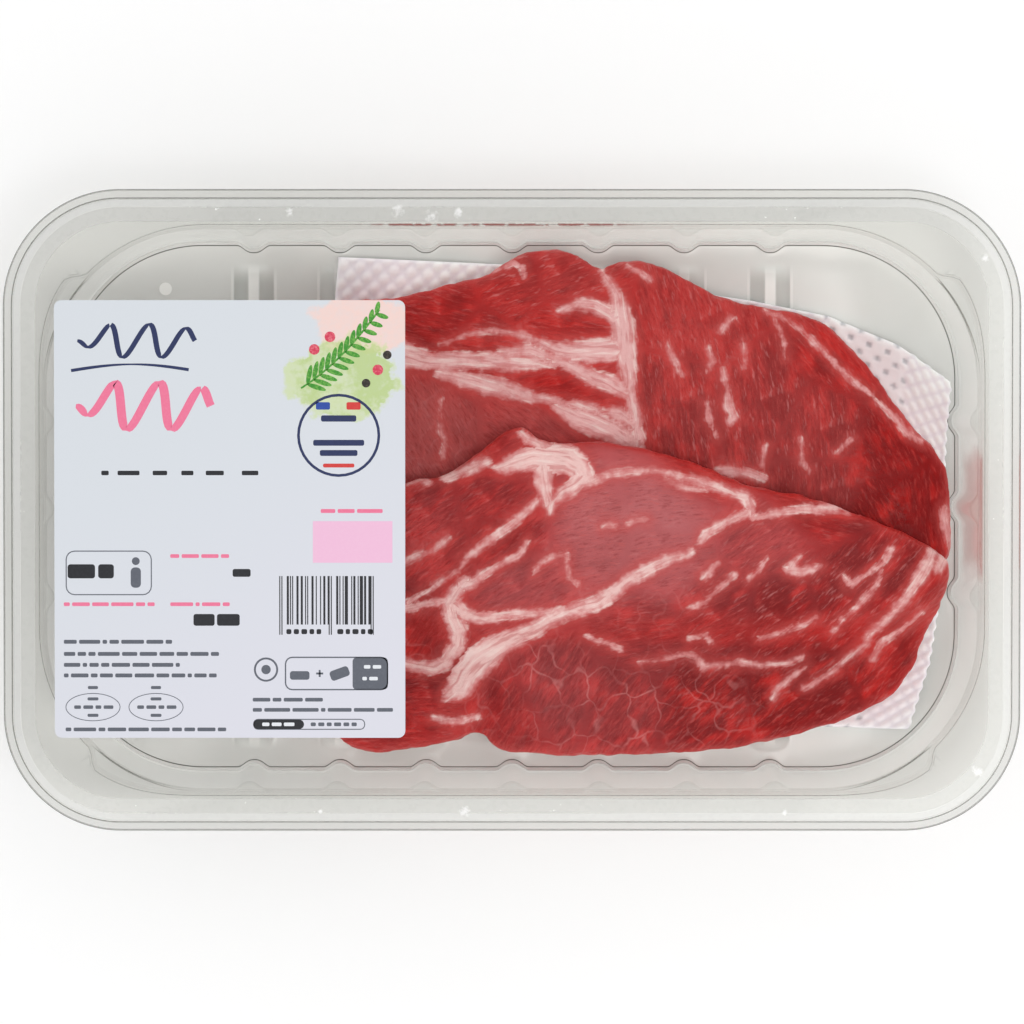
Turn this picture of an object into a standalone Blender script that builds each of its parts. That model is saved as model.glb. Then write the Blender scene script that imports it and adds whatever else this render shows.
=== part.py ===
"""A sealed pack of two raw meat chops: clear ribbed tray, pad, chops, lidding film and blank label.

Metres, +Z up. The origin is the middle of the tray's underside. +X runs along the tray's long
side and +Y towards its back long side, which lies at the top when the pack is read from above.
"""
import math

import bmesh
import bpy
from mathutils import Matrix, Vector, noise
from mathutils.bvhtree import BVHTree
from mathutils.kdtree import KDTree

MM = 0.001

# Tray
TRAY_LENGTH = 260 * MM
TRAY_WIDTH = 164 * MM
FLANGE_TOP = 40 * MM
SHEET = 0.6 * MM
FLANGE_CORNER = 30 * MM
LIP_WIDTH = 2.2 * MM
LIP_DROP = 1.4 * MM
LIP_ROUND = 0.2 * MM
FLOOR_HALF_X = 117.1 * MM
FLOOR_HALF_Y = 69.3 * MM
FLOOR_CORNER = 36 * MM
FLOOR_FILLET = 1.3 * MM
FLOOR_FILLET_RISE = 1.6 * MM
RIM_OUTSET = 3.4 * MM
RIM_CORNER = 42 * MM
RIM_ROUND = 1.1 * MM
CORNER_STEPS = 14

# Columns pressed into the walls, and the floor ribs in line with them
COLUMN_PITCH = 22.6 * MM
LONG_SIDE_COLUMNS = 7
SHORT_SIDE_COLUMNS = 3
COLUMN_HALF_WIDTH = 4.4 * MM
COLUMN_DEPTH = 1.9 * MM
COLUMN_FLANK = 1.3
COLUMN_STEPS = 6
COLUMN_SHOULDER = 26.5 * MM
COLUMN_TOP = 31 * MM
RIB_HEIGHT = 1.2 * MM
RIB_HALF_WIDTH = 5.7 * MM
RIB_HALF_TOP = 1.3 * MM
RIB_HALF_LENGTH = 64 * MM
RIB_END_SLOPE = 3 * MM

# Stacking pockets, one pressed outwards above a ledge in each corner
LEDGE_HEIGHT = 32 * MM
LEDGE_ROUND = 0.8 * MM
POCKET_DEPTH = 3.4 * MM
POCKET_RISE_SHARE = 0.16
POCKET_FADE_FROM = 0.1

# Places closer than this count as one
TOUCH = 0.01 * MM

# Film and label
GAP = 0.3 * MM
FILM_THICKNESS = 0.2 * MM
FILM_INSET = 0.1 * MM
LABEL_LENGTH = 89.5 * MM
LABEL_WIDTH = 111.7 * MM
LABEL_THICKNESS = 0.2 * MM
LABEL_CENTRE = (-72.0 * MM, -2.2 * MM)
LABEL_CORNER = 1.8 * MM

# Pad: its back and front sides from the left and its ends from the front, in millimetres
PAD_BACK = ((-45.5, 65.5), (-1, 63.5), (63, 54), (83, 50), (101, 42.5), (115, 32.5))
PAD_FRONT = ((-55.5, -53.5), (104.5, -58.5))
PAD_LEFT = ((-55.5, -53.5), (-45.5, 65.5))
PAD_RIGHT = ((104.5, -58.5), (110, -41), (112.5, -25), (114, 13), (115, 32.5))
PAD_THICKNESS = 1.8 * MM
PAD_CELLS = (18, 12)

# The pad's back right corner curls up past a line, given by a place on it and the way out
PAD_CURL_PLACE = Vector((83, 51)) * MM
PAD_CURL_WAY = Vector((0.747, 0.664))
PAD_CURL_RUN = 14 * MM
PAD_CURL_RISE = 5 * MM

# Chops: the height they rest at, on the pad and past its edge, and their thickness
PAD_REST = SHEET + RIB_HEIGHT + PAD_THICKNESS + 3 * GAP
FLOOR_REST = SHEET + RIB_HEIGHT + GAP
REST_MARGIN = 4 * MM
REST_RAMP = 9 * MM
CHOP_THICKNESS = 11.5 * MM
CHOP_EDGE_ROUND = 6.5 * MM
CHOP_EDGE_SHARE = 0.30
CHOP_WAIST = 0.46
DRAPE_RAMP = 13 * MM
DRAPE_GAP = 1.2 * MM
DRAPE_EDGE_SHARE = 1.12
SEAM_HALF_WIDTH = 3.0 * MM
SEAM_DEPTH = 0.8 * MM
SWELL = 0.9 * MM
SWELL_PITCH = 26 * MM
REMESH_SIZE = 2.0 * MM
CHOP_TRIANGLES = 2800

# Chop outlines seen from above, in millimetres, run clockwise from the left end
BACK_OUTLINE = (
    (-56, 38), (-51, 49), (-41, 54), (-30, 54.5), (-17, 58), (-7, 60.5), (1, 65.5), (10, 67.5),
    (18, 65.5), (23, 61.5), (29, 64.5), (40, 62.5), (52, 55.5), (66, 52), (80, 48.5), (92.5, 37),
    (102, 24), (112, 12.5), (114.3, -1), (113.5, -14), (101, -22), (76, -25), (36, -25),
    (-3, -25), (-29, -22), (-50, -12), (-58, 13),
)
FRONT_OUTLINE = (
    (-46, -12), (-39, 0), (-28, 7), (-19, 8), (-9, 14), (1, 21.5), (8, 17.5), (15, 16.5),
    (22, 17.5), (45, 12.5), (61, 6), (77, 3), (88, -1), (99, -5.5), (109.5, -10.5), (113.5, -17),
    (108.5, -32), (101.5, -46.5), (90, -54), (80, -57.5), (58.5, -62.5), (33, -64.5), (5, -64.5),
    (-6, -61), (-6.5, -47.5), (-11, -59), (-23, -62.5), (-38, -64), (-46, -59.5), (-51, -49),
    (-52, -29),
)

# Fat seams between the muscles, as open runs across each chop
BACK_SEAMS = (
    ((23, 62), (28, 55), (30, 47), (28, 40), (33, 16)),
    ((-28, 44), (-18, 40), (-1, 40), (10, 43), (23, 45)),
    ((-25, 40), (-12, 36), (-4, 30), (5, 28), (17, 27), (25, 25), (33, 16)),
)
FRONT_SEAMS = (
    (
        (-14, -27), (-8, -29), (2, -28), (20, -23), (28, -17), (35, -14), (49, -8), (57, -4),
        (61, 0), (87, -1),
    ),
    ((23, 7), (40, 10), (58, 5), (61, 0)),
    ((8, 17), (9, 4), (6, -2), (-10, -11), (-18, -15), (-23, -20), (-28, -25)),
    ((-14, -27), (-15, -34), (-18, -39), (-28, -41)),
    ((-14, -39), (-2, -42), (2, -34), (11, -30)),
)


def clear_scene():
    for thing in list(bpy.data.objects):
        bpy.data.objects.remove(thing, do_unlink=True)


def make_material(name, colour, roughness, alpha=1.0):
    material = bpy.data.materials.new(name)
    material.use_nodes = True
    shader = material.node_tree.nodes["Principled BSDF"]
    shader.inputs["Base Color"].default_value = (*colour, 1.0)
    shader.inputs["Roughness"].default_value = roughness
    shader.inputs["Metallic"].default_value = 0.0
    shader.inputs["Alpha"].default_value = alpha
    return material


def add_object(name, bm, material, smooth_angle=35.0):
    mesh = bpy.data.meshes.new(name)
    bm.to_mesh(mesh)
    bm.free()
    mesh.shade_smooth()
    mesh.set_sharp_from_angle(angle=math.radians(smooth_angle))
    mesh.materials.append(material)
    piece = bpy.data.objects.new(name, mesh)
    bpy.context.collection.objects.link(piece)
    return piece


def smoothstep(value):
    t = min(max(value, 0.0), 1.0)
    return t * t * (3.0 - 2.0 * t)


def column_bump(offset):
    """How far a column stands out of its wall at a distance along the wall from its middle."""
    share = min(abs(offset) / COLUMN_HALF_WIDTH, 1.0)
    return COLUMN_DEPTH * 0.5 * (1.0 + math.cos(math.pi * share ** COLUMN_FLANK))


def pocket_bump(share):
    """How far a pocket is pressed out, from its steep end at 0 to its fading end at 1."""
    rise = smoothstep(share / POCKET_RISE_SHARE)
    fade = smoothstep((share - POCKET_FADE_FROM) / (1.0 - POCKET_FADE_FROM))
    return POCKET_DEPTH * rise * (1.0 - fade)


def side_offsets(count):
    """The points that a wall's columns need, as (distance along the wall, column's bump)."""
    first = -0.5 * (count - 1) * COLUMN_PITCH
    offsets = []
    for column in range(count):
        middle = first + column * COLUMN_PITCH
        for step in range(COLUMN_STEPS + 1):
            along = (2.0 * step / COLUMN_STEPS - 1.0) * COLUMN_HALF_WIDTH
            offsets.append((middle + along, column_bump(along)))
    return offsets


def tray_ring(half_x, half_y, radius, columns=0.0, pockets=0.0):
    """One closed outline of the tray as (x, y, belongs to a column), anticlockwise from above."""
    ring = []
    # Each side: its outward direction, half run across, columns, and where the next pocket lies
    sides = (
        (0.0, half_x, half_y, SHORT_SIDE_COLUMNS, "start"),
        (0.5 * math.pi, half_y, half_x, LONG_SIDE_COLUMNS, "end"),
        (math.pi, half_x, half_y, SHORT_SIDE_COLUMNS, "end"),
        (1.5 * math.pi, half_y, half_x, LONG_SIDE_COLUMNS, "start"),
    )
    for turn, reach, half_run, count, pocket_at in sides:
        outward = Vector((math.cos(turn), math.sin(turn)))
        along = Vector((-math.sin(turn), math.cos(turn)))
        for offset, bump in side_offsets(count):
            point = outward * (reach - bump * columns) + along * offset
            ring.append((point.x, point.y, True))
        centre = outward * (reach - radius) + along * (half_run - radius)
        for step in range(CORNER_STEPS + 1):
            share = step / CORNER_STEPS
            from_middle = 1.0 - 2.0 * share if pocket_at == "start" else 2.0 * share - 1.0
            bump = pocket_bump(from_middle) if from_middle > 0.0 else 0.0
            angle = turn + share * 0.5 * math.pi
            reach_out = radius + bump * pockets
            point = centre + reach_out * Vector((math.cos(angle), math.sin(angle)))
            ring.append((point.x, point.y, False))
    return ring


def tray_stations():
    """The tray's inner surface from the floor's edge out to the lip, as (height, ring)."""
    stations = []

    def wall(height, outset, columns, pockets=0.0):
        share = max(outset, 0.0) / RIM_OUTSET
        radius = FLOOR_CORNER + (RIM_CORNER - FLOOR_CORNER) * share
        ring = tray_ring(
            FLOOR_HALF_X + outset, FLOOR_HALF_Y + outset, radius + min(outset, 0.0), columns, pockets
        )
        stations.append((height, ring))

    def draft(height):
        return RIM_OUTSET * height / FLANGE_TOP

    # A quarter turn in two steps, in from its flat end and up from its steep end
    round_in = 1.0 - math.sin(0.25 * math.pi)
    wall(SHEET, -FLOOR_FILLET, 1.0)
    wall(SHEET + round_in * FLOOR_FILLET_RISE, -round_in * FLOOR_FILLET, 1.0)
    wall(SHEET + FLOOR_FILLET_RISE, draft(SHEET + FLOOR_FILLET_RISE), 1.0)
    # The columns' domes, as a quarter ellipse in three steps
    for share in (0.0, 0.6, 1.0):
        height = COLUMN_SHOULDER + share * (COLUMN_TOP - COLUMN_SHOULDER)
        wall(height, draft(height), math.sqrt(1.0 - share * share))
    wall(LEDGE_HEIGHT, draft(LEDGE_HEIGHT), 0.0)
    wall(LEDGE_HEIGHT + LEDGE_ROUND, draft(LEDGE_HEIGHT), 0.0, 1.0)
    wall(FLANGE_TOP - RIM_ROUND, draft(FLANGE_TOP - RIM_ROUND), 0.0, 1.0)
    wall(FLANGE_TOP - round_in * RIM_ROUND, RIM_OUTSET + round_in * RIM_ROUND, 0.0, 1.0)
    wall(FLANGE_TOP, RIM_OUTSET + RIM_ROUND, 0.0, 1.0)
    lip = ((LIP_WIDTH + 2.0 * LIP_ROUND, 0.0), (LIP_WIDTH, LIP_ROUND), (0.0, LIP_DROP))
    for inset, drop in lip:
        half_x = 0.5 * TRAY_LENGTH - inset
        half_y = 0.5 * TRAY_WIDTH - inset
        stations.append((FLANGE_TOP - drop, tray_ring(half_x, half_y, FLANGE_CORNER - inset)))
    return stations


def extrude_ring(bm, verts, edges, points):
    """Draws a closed loop out to the given points and returns its new verts and edges."""
    drawn = set(bmesh.ops.extrude_edge_only(bm, edges=edges)["geom"])
    new_verts = []
    for vert, point in zip(verts, points):
        new_vert = next(e.other_vert(vert) for e in vert.link_edges if e.other_vert(vert) in drawn)
        new_vert.co = point
        new_verts.append(new_vert)
    new_edges = [bm.edges.get((new_verts[i - 1], new_verts[i])) for i in range(len(new_verts))]
    return new_verts, new_edges


def rib_share(x):
    """Height of the floor at x as a share of a rib's height."""
    nearest = round(x / COLUMN_PITCH)
    if abs(nearest) > LONG_SIDE_COLUMNS // 2:
        return 0.0
    return 1.0 if abs(x - nearest * COLUMN_PITCH) < RIB_HALF_TOP + TOUCH else 0.0


def cut_floor(bm):
    """Cuts the flat floor along the edges of its ribs and lifts the ribs' tops."""
    cuts = []
    for column in range(LONG_SIDE_COLUMNS):
        middle = (column - LONG_SIDE_COLUMNS // 2) * COLUMN_PITCH
        for offset in (-RIB_HALF_WIDTH, -RIB_HALF_TOP, RIB_HALF_TOP, RIB_HALF_WIDTH):
            cuts.append((Vector((middle + offset, 0, 0)), Vector((1, 0, 0))))
    for side in (-1, 1):
        for length in (RIB_HALF_LENGTH, RIB_HALF_LENGTH - RIB_END_SLOPE):
            cuts.append((Vector((0, side * length, 0)), Vector((0, side, 0))))
    for place, normal in cuts:
        floor_faces = [f for f in bm.faces if all(v.co.z < SHEET + TOUCH for v in f.verts)]
        parts = {item for f in floor_faces for item in (f, *f.edges, *f.verts)}
        bmesh.ops.bisect_plane(
            bm, geom=list(parts), dist=0.1 * TOUCH, plane_co=place, plane_no=normal
        )
    for vert in bm.verts:
        on_floor = vert.co.z < SHEET + TOUCH
        if on_floor and abs(vert.co.y) < RIB_HALF_LENGTH - RIB_END_SLOPE + TOUCH:
            vert.co.z += RIB_HEIGHT * rib_share(vert.co.x)


def make_tray(material):
    bm = bmesh.new()
    stations = tray_stations()
    height, ring = stations[0]
    verts = [bm.verts.new((x, y, height)) for x, y, _ in ring]
    bm.faces.new(verts)
    edges = [bm.edges.get((verts[i - 1], verts[i])) for i in range(len(verts))]
    upright = []
    for height, ring in stations[1:]:
        below = verts
        points = [(x, y, height) for x, y, _ in ring]
        verts, edges = extrude_ring(bm, verts, edges, points)
        if height > COLUMN_TOP:
            pairs = zip(below, verts, ring)
            upright += [bm.edges.get((low, high)) for low, high, point in pairs if point[2]]
    bmesh.ops.dissolve_edges(bm, edges=upright, use_verts=True)
    cut_floor(bm)
    bmesh.ops.recalc_face_normals(bm, faces=bm.faces)
    floor_face = min(bm.faces, key=lambda f: f.calc_center_median().length)
    if floor_face.normal.z < 0.0:
        bmesh.ops.reverse_faces(bm, faces=bm.faces)
    bmesh.ops.triangulate(bm, faces=[f for f in bm.faces if len(f.verts) > 4])
    tray = add_object("tray", bm, material)
    wall = tray.modifiers.new("sheet", "SOLIDIFY")
    wall.thickness = SHEET
    wall.offset = -1.0
    wall.use_even_offset = True
    wall.use_quality_normals = True
    return tray


def make_slab(name, outline, bottom, thickness, material):
    """A flat sheet from a closed outline."""
    bm = bmesh.new()
    verts = [bm.verts.new((x, y, bottom)) for x, y in outline]
    face = bm.faces.new(verts)
    raised = bmesh.ops.extrude_face_region(bm, geom=[face])["geom"]
    top = [item for item in raised if isinstance(item, bmesh.types.BMVert)]
    bmesh.ops.translate(bm, verts=top, vec=(0, 0, thickness))
    bmesh.ops.recalc_face_normals(bm, faces=bm.faces)
    return add_object(name, bm, material)


def make_film(material):
    inset = LIP_WIDTH + FILM_INSET
    half_x = 0.5 * TRAY_LENGTH - inset
    half_y = 0.5 * TRAY_WIDTH - inset
    ring = tray_ring(half_x, half_y, FLANGE_CORNER - inset)
    outline = [(x, y) for x, y, on_column in ring if not on_column]
    return make_slab("film", outline, FLANGE_TOP + GAP, FILM_THICKNESS, material)


def make_label(material):
    bm = bmesh.new()
    size = Matrix.Diagonal((LABEL_LENGTH, LABEL_WIDTH, LABEL_THICKNESS, 1.0))
    bottom = FLANGE_TOP + GAP + FILM_THICKNESS + GAP
    centre = Vector((*LABEL_CENTRE, bottom + 0.5 * LABEL_THICKNESS))
    bmesh.ops.create_cube(bm, size=1.0, matrix=Matrix.Translation(centre) @ size)
    upright = [e for e in bm.edges if abs(e.verts[0].co.z - e.verts[1].co.z) > 0.5 * LABEL_THICKNESS]
    bmesh.ops.bevel(
        bm, geom=upright, offset=LABEL_CORNER, offset_type="OFFSET", segments=5, profile=0.5,
        affect="EDGES", material=-1,
    )
    return add_object("label", bm, material)


def along_run(run, share):
    """The place at a share of the length of an open run given in millimetres."""
    pieces = [(Vector(b) - Vector(a)).length for a, b in zip(run, run[1:])]
    left = share * sum(pieces)
    for a, b, length in zip(run, run[1:], pieces):
        if left <= length:
            return Vector(a).lerp(Vector(b), left / length) * MM
        left -= length
    return Vector(run[-1]) * MM


def pad_place(across, along):
    """A place on the pad, by its shares of the way from left to right and from front to back."""
    front = along_run(PAD_FRONT, across)
    back = along_run(PAD_BACK, across)
    left = along_run(PAD_LEFT, along)
    right = along_run(PAD_RIGHT, along)
    low = Vector(PAD_FRONT[0]).lerp(Vector(PAD_FRONT[-1]), across)
    high = Vector(PAD_BACK[0]).lerp(Vector(PAD_BACK[-1]), across)
    return front.lerp(back, along) + left.lerp(right, across) - low.lerp(high, along) * MM


def pad_curl(place):
    """How far the pad is lifted at a place."""
    past = (place - PAD_CURL_PLACE).dot(PAD_CURL_WAY)
    return PAD_CURL_RISE * smoothstep(past / PAD_CURL_RUN)


def make_pad(material):
    bm = bmesh.new()
    columns, rows = PAD_CELLS
    bmesh.ops.create_grid(bm, x_segments=columns, y_segments=rows, size=0.5)
    for vert in bm.verts:
        place = pad_place(vert.co.x + 0.5, vert.co.y + 0.5)
        vert.co = (place.x, place.y, FLOOR_REST + pad_curl(place))
    pad = add_object("pad", bm, material, 60.0)
    depth = pad.modifiers.new("depth", "SOLIDIFY")
    depth.thickness = PAD_THICKNESS
    depth.offset = 1.0
    return pad


def smooth_outline(points, steps=6):
    """A closed smooth curve through the given points, which are in millimetres."""
    curve = []
    count = len(points)
    for i in range(count):
        a, b, c, d = (Vector(points[(i + k) % count]) * MM for k in (-1, 0, 1, 2))
        for step in range(steps):
            t = step / steps
            curve.append(
                0.5 * (2 * b + (c - a) * t + (2 * a - 5 * b + 4 * c - d) * t * t
                       + (3 * b - a - 3 * c + d) * t ** 3)
            )
    return curve


def nearest_lookup(points):
    tree = KDTree(len(points))
    for index, point in enumerate(points):
        tree.insert((point.x, point.y, 0.0), index)
    tree.balance()
    return tree


def dense_run(run, spacing=1.0 * MM):
    """Points closely spaced along an open run given in millimetres."""
    points = []
    for start, end in zip(run, run[1:]):
        a = Vector(start) * MM
        b = Vector(end) * MM
        count = max(1, round((b - a).length / spacing))
        points += [a.lerp(b, k / count) for k in range(count)]
    points.append(Vector(run[-1]) * MM)
    return points


def inside(curve, x, y):
    """Whether a place lies within a closed curve."""
    within = False
    for i, b in enumerate(curve):
        a = curve[i - 1]
        if (a.y > y) != (b.y > y) and x < a.x + (y - a.y) * (b.x - a.x) / (b.y - a.y):
            within = not within
    return within


def remeshed(curve, thickness):
    """An even skin around the upright slab that stands on a curve."""
    bm = bmesh.new()
    face = bm.faces.new([bm.verts.new((p.x, p.y, 0.0)) for p in curve])
    raised = bmesh.ops.extrude_face_region(bm, geom=[face])["geom"]
    top = [item for item in raised if isinstance(item, bmesh.types.BMVert)]
    bmesh.ops.translate(bm, verts=top, vec=(0, 0, thickness))
    bmesh.ops.recalc_face_normals(bm, faces=bm.faces)
    mesh = bpy.data.meshes.new("slab")
    bm.to_mesh(mesh)
    bm.free()
    slab = bpy.data.objects.new("slab", mesh)
    bpy.context.collection.objects.link(slab)
    skin = slab.modifiers.new("skin", "REMESH")
    skin.mode = "VOXEL"
    skin.voxel_size = REMESH_SIZE
    graph = bpy.context.evaluated_depsgraph_get()
    result = bmesh.new()
    result.from_mesh(slab.evaluated_get(graph).to_mesh())
    bpy.data.objects.remove(slab, do_unlink=True)
    return result


def height_over_pad():
    """A function for the height of what chops lie on: the pad, and the floor past its edge."""
    back = dense_run(PAD_BACK)
    front = dense_run(PAD_FRONT)
    right = dense_run(PAD_RIGHT)
    left = dense_run(PAD_LEFT)
    outline = front + right + back[::-1] + left[::-1]
    edge = nearest_lookup(outline)

    def rest_height(x, y):
        distance = edge.find((x, y, 0.0))[2]
        past = -distance if inside(outline, x, y) else distance
        sag = smoothstep((past - REST_MARGIN) / REST_RAMP)
        return PAD_REST + (FLOOR_REST - PAD_REST) * sag

    return rest_height


def shape_chop(bm, curve, seams, bottom_height):
    """Rounds a slab's edge, swells its muscles and sinks its seams, on the given underside."""
    edge = nearest_lookup(curve)
    seam = nearest_lookup([point for run in seams for point in dense_run(run)])
    for vert in bm.verts:
        x, y, z = vert.co
        depth_in = edge.find((x, y, 0.0))[2]
        near_seam = math.exp(-(seam.find((x, y, 0.0))[2] / SEAM_HALF_WIDTH) ** 2)
        share = 1.0 - min(depth_in / CHOP_EDGE_ROUND, 1.0)
        fullness = CHOP_EDGE_SHARE + (1.0 - CHOP_EDGE_SHARE) * math.sqrt(1.0 - share * share)
        swell = SWELL * noise.noise(Vector((x, y, 0.0)) / SWELL_PITCH)
        level = z / CHOP_THICKNESS
        lift = (level - CHOP_WAIST) * CHOP_THICKNESS * fullness + CHOP_WAIST * CHOP_THICKNESS
        relief = level * (swell - SEAM_DEPTH * near_seam)
        vert.co.z = bottom_height(x, y) + lift + relief
    bmesh.ops.smooth_vert(
        bm, verts=bm.verts, factor=0.5, use_axis_x=True, use_axis_y=True, use_axis_z=True
    )


def make_chop(name, bm, material):
    chop = add_object(name, bm, material, 70.0)
    thin = chop.modifiers.new("thin", "DECIMATE")
    thin.ratio = CHOP_TRIANGLES / sum(len(p.vertices) - 2 for p in chop.data.polygons)
    return chop


def make_chops(back_material, front_material):
    rest_height = height_over_pad()
    back_curve = smooth_outline(BACK_OUTLINE)
    back_mesh = remeshed(back_curve, CHOP_THICKNESS)
    shape_chop(back_mesh, back_curve, BACK_SEAMS, rest_height)
    back_skin = BVHTree.FromBMesh(back_mesh)
    back_edge = nearest_lookup(back_curve)
    above = 2.0 * FLANGE_TOP

    def drape_height(x, y):
        """Underside of the front chop, which climbs over the back chop's front edge."""
        rest = rest_height(x, y)
        distance = back_edge.find((x, y, 0.0))[2]
        depth_in = distance if inside(back_curve, x, y) else -distance
        climb = smoothstep(1.0 + depth_in / DRAPE_RAMP)
        height = rest + DRAPE_EDGE_SHARE * CHOP_THICKNESS * climb
        hit = back_skin.ray_cast(Vector((x, y, above)), Vector((0, 0, -1)))[0]
        return max(height, hit.z + DRAPE_GAP) if hit else height

    front_curve = smooth_outline(FRONT_OUTLINE)
    front_mesh = remeshed(front_curve, CHOP_THICKNESS)
    shape_chop(front_mesh, front_curve, FRONT_SEAMS, drape_height)
    return [
        make_chop("chop_back", back_mesh, back_material),
        make_chop("chop_front", front_mesh, front_material),
    ]


def main():
    clear_scene()
    clear_plastic = make_material("clear_plastic", (0.80, 0.82, 0.79), 0.15, 0.35)
    clear_film = make_material("clear_film", (0.85, 0.87, 0.87), 0.10, 0.15)
    label_paper = make_material("label_paper", (0.74, 0.77, 0.83), 0.50)
    pad_fibre = make_material("pad_fibre", (0.86, 0.80, 0.84), 0.85)
    dark_meat = make_material("dark_meat", (0.42, 0.05, 0.06), 0.30)
    pale_meat = make_material("pale_meat", (0.52, 0.09, 0.10), 0.30)
    make_tray(clear_plastic)
    make_pad(pad_fibre)
    make_chops(dark_meat, pale_meat)
    make_film(clear_film)
    make_label(label_paper)


main()
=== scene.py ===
import math
import random

import bmesh
import bpy
from mathutils import Matrix, Vector, noise
from mathutils.kdtree import KDTree


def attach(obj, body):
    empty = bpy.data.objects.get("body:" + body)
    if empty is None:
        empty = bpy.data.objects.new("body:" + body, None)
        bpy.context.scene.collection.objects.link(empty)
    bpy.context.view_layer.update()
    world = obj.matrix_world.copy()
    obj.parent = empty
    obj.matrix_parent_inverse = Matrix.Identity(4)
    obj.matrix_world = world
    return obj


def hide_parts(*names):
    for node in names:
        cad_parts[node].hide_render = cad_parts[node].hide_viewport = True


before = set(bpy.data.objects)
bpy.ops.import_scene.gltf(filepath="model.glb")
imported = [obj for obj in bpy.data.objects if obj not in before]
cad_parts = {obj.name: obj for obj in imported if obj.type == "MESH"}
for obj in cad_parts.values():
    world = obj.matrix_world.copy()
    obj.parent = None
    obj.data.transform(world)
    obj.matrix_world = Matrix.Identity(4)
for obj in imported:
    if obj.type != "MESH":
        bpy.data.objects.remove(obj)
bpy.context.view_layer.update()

MM = 0.001

# The photograph: width of a pixel at the flange, the pack's middle, and how the view leans
PIXEL = 0.2552 * MM
PHOTO_MIDDLE = (512.0, 510.5)
CAMERA_ABOVE_FLANGE = 1.30
VIEW_LEAN = 0.027
FRAME_PIXELS = 1024
SENSOR_WIDTH = 36.0

# Tray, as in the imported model
TRAY_LENGTH = 260 * MM
TRAY_WIDTH = 164 * MM
FLANGE_TOP = 40 * MM
SHEET = 0.6 * MM
FLANGE_CORNER = 30 * MM
FLOOR_HALF_X = 117.1 * MM
FLOOR_HALF_Y = 69.3 * MM
FLOOR_CORNER = 36 * MM
FLOOR_FILLET = 1.5 * MM
RIM_OUTSET = 3.4 * MM
RIM_CORNER = 42 * MM
RIM_ROUND = 1.1 * MM
CORNER_STEPS = 40
COLUMN_PITCH = 22.6 * MM
LONG_SIDE_COLUMNS = 7
SHORT_SIDE_COLUMNS = 3
COLUMN_HALF_WIDTH = 4.4 * MM
COLUMN_DEPTH = 1.9 * MM
COLUMN_FLANK = 1.3
COLUMN_STEPS = 16
COLUMN_SHOULDER = 26.5 * MM
COLUMN_TOP = 31 * MM
RIB_HEIGHT = 1.2 * MM
RIB_HALF_WIDTH = 5.7 * MM
RIB_HALF_TOP = 1.3 * MM
RIB_HALF_LENGTH = 64 * MM
RIB_END_SLOPE = 3 * MM
LEDGE_HEIGHT = 32 * MM
SEAL_FACE = 40.53 * MM
POCKET_DEPTH = 3.4 * MM
POCKET_RISE_SHARE = 0.16
POCKET_FADE_FROM = 0.1

# Pad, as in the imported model: its sides in millimetres, the back and front ones from the left
PAD_BACK = ((-45.5, 65.5), (-1, 63.5), (63, 54), (83, 50), (101, 42.5), (115, 32.5))
PAD_FRONT = ((-55.5, -53.5), (104.5, -58.5))
PAD_LEFT = ((-55.5, -53.5), (-45.5, 65.5))
PAD_RIGHT = ((104.5, -58.5), (110, -41), (112.5, -25), (114, 13), (115, 32.5))
PAD_BOTTOM = 2.1 * MM
PAD_THICKNESS = 1.8 * MM
PAD_CURL_PLACE = Vector((83, 51)) * MM
PAD_CURL_WAY = Vector((0.747, 0.664))
PAD_CURL_RUN = 14 * MM
PAD_CURL_RISE = 5 * MM

# The pad's quilting and punched dots
PAD_SIZE = (165 * MM, 118 * MM)
PAD_STEP = 0.74 * MM
PAD_ROW_PITCH = 3.3 * MM
PAD_ROW_TURNS = (math.radians(38), math.radians(-46))
PAD_DIMPLE_DEPTH = 0.6 * MM
PAD_SCALLOP_PITCH = 4.2 * MM
PAD_SCALLOP_DEPTH = 0.5 * MM
PAD_HOLE_PITCH = (5.1 * MM, 6.2 * MM)
PAD_HOLE_RADIUS = 0.95 * MM
PAD_HOLE_DEPTH = 0.4 * MM
PAD_SMOOTH_SHARE = 0.8
PAD_EDGE_DROP = 0.5 * MM
PAD_EDGE_RUN = 1.0 * MM
PAD_FLAT_EDGE = 1.2 * MM
PAD_SCALLOPS_FROM = 0.97
PAD_HOLES_FROM = 128 * MM
PAD_HOLES_TO = 152 * MM

# Chops
CHOP_VOXEL = 0.72 * MM
LEAN_SWELL = 0.36 * MM
FAT_LUMP = 0.26 * MM
CUT_EDGE_WAVE = 0.5 * MM
CUT_EDGE_WAVE_SIZE = 4.5 * MM
LEAN_SWELL_RUN = 3 * MM
FAT_LUMP_SIZE = 2.6 * MM
FAT_RISE = 0.1 * MM
FAT_FADE = 1.2 * MM
FINE_ROUGH = 0.14 * MM
FINE_ROUGH_SIZE = 1.8 * MM
MUSCLE_SOFTNESS = 3 * MM
SEAM_STEP = 0.5 * MM
SEAM_REACH = 6.0

# Light
SKY_STRENGTH = 1.49
KEY_PLACE = (0.35, -0.35, 2.0)
KEY_SIZE = 0.6
KEY_POWER = 9.0
SKY_STOPS = ((0.0, 1.0), (0.5, 0.71), (1.0, 0.34))

# Stage
STAGE_HALF_SIZE = 3.0
STAGE_DROP = 0.2 * MM

# Heights at which the seams were read off the photograph
BACK_TOP = 15 * MM
FRONT_TOP = 22 * MM

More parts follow.
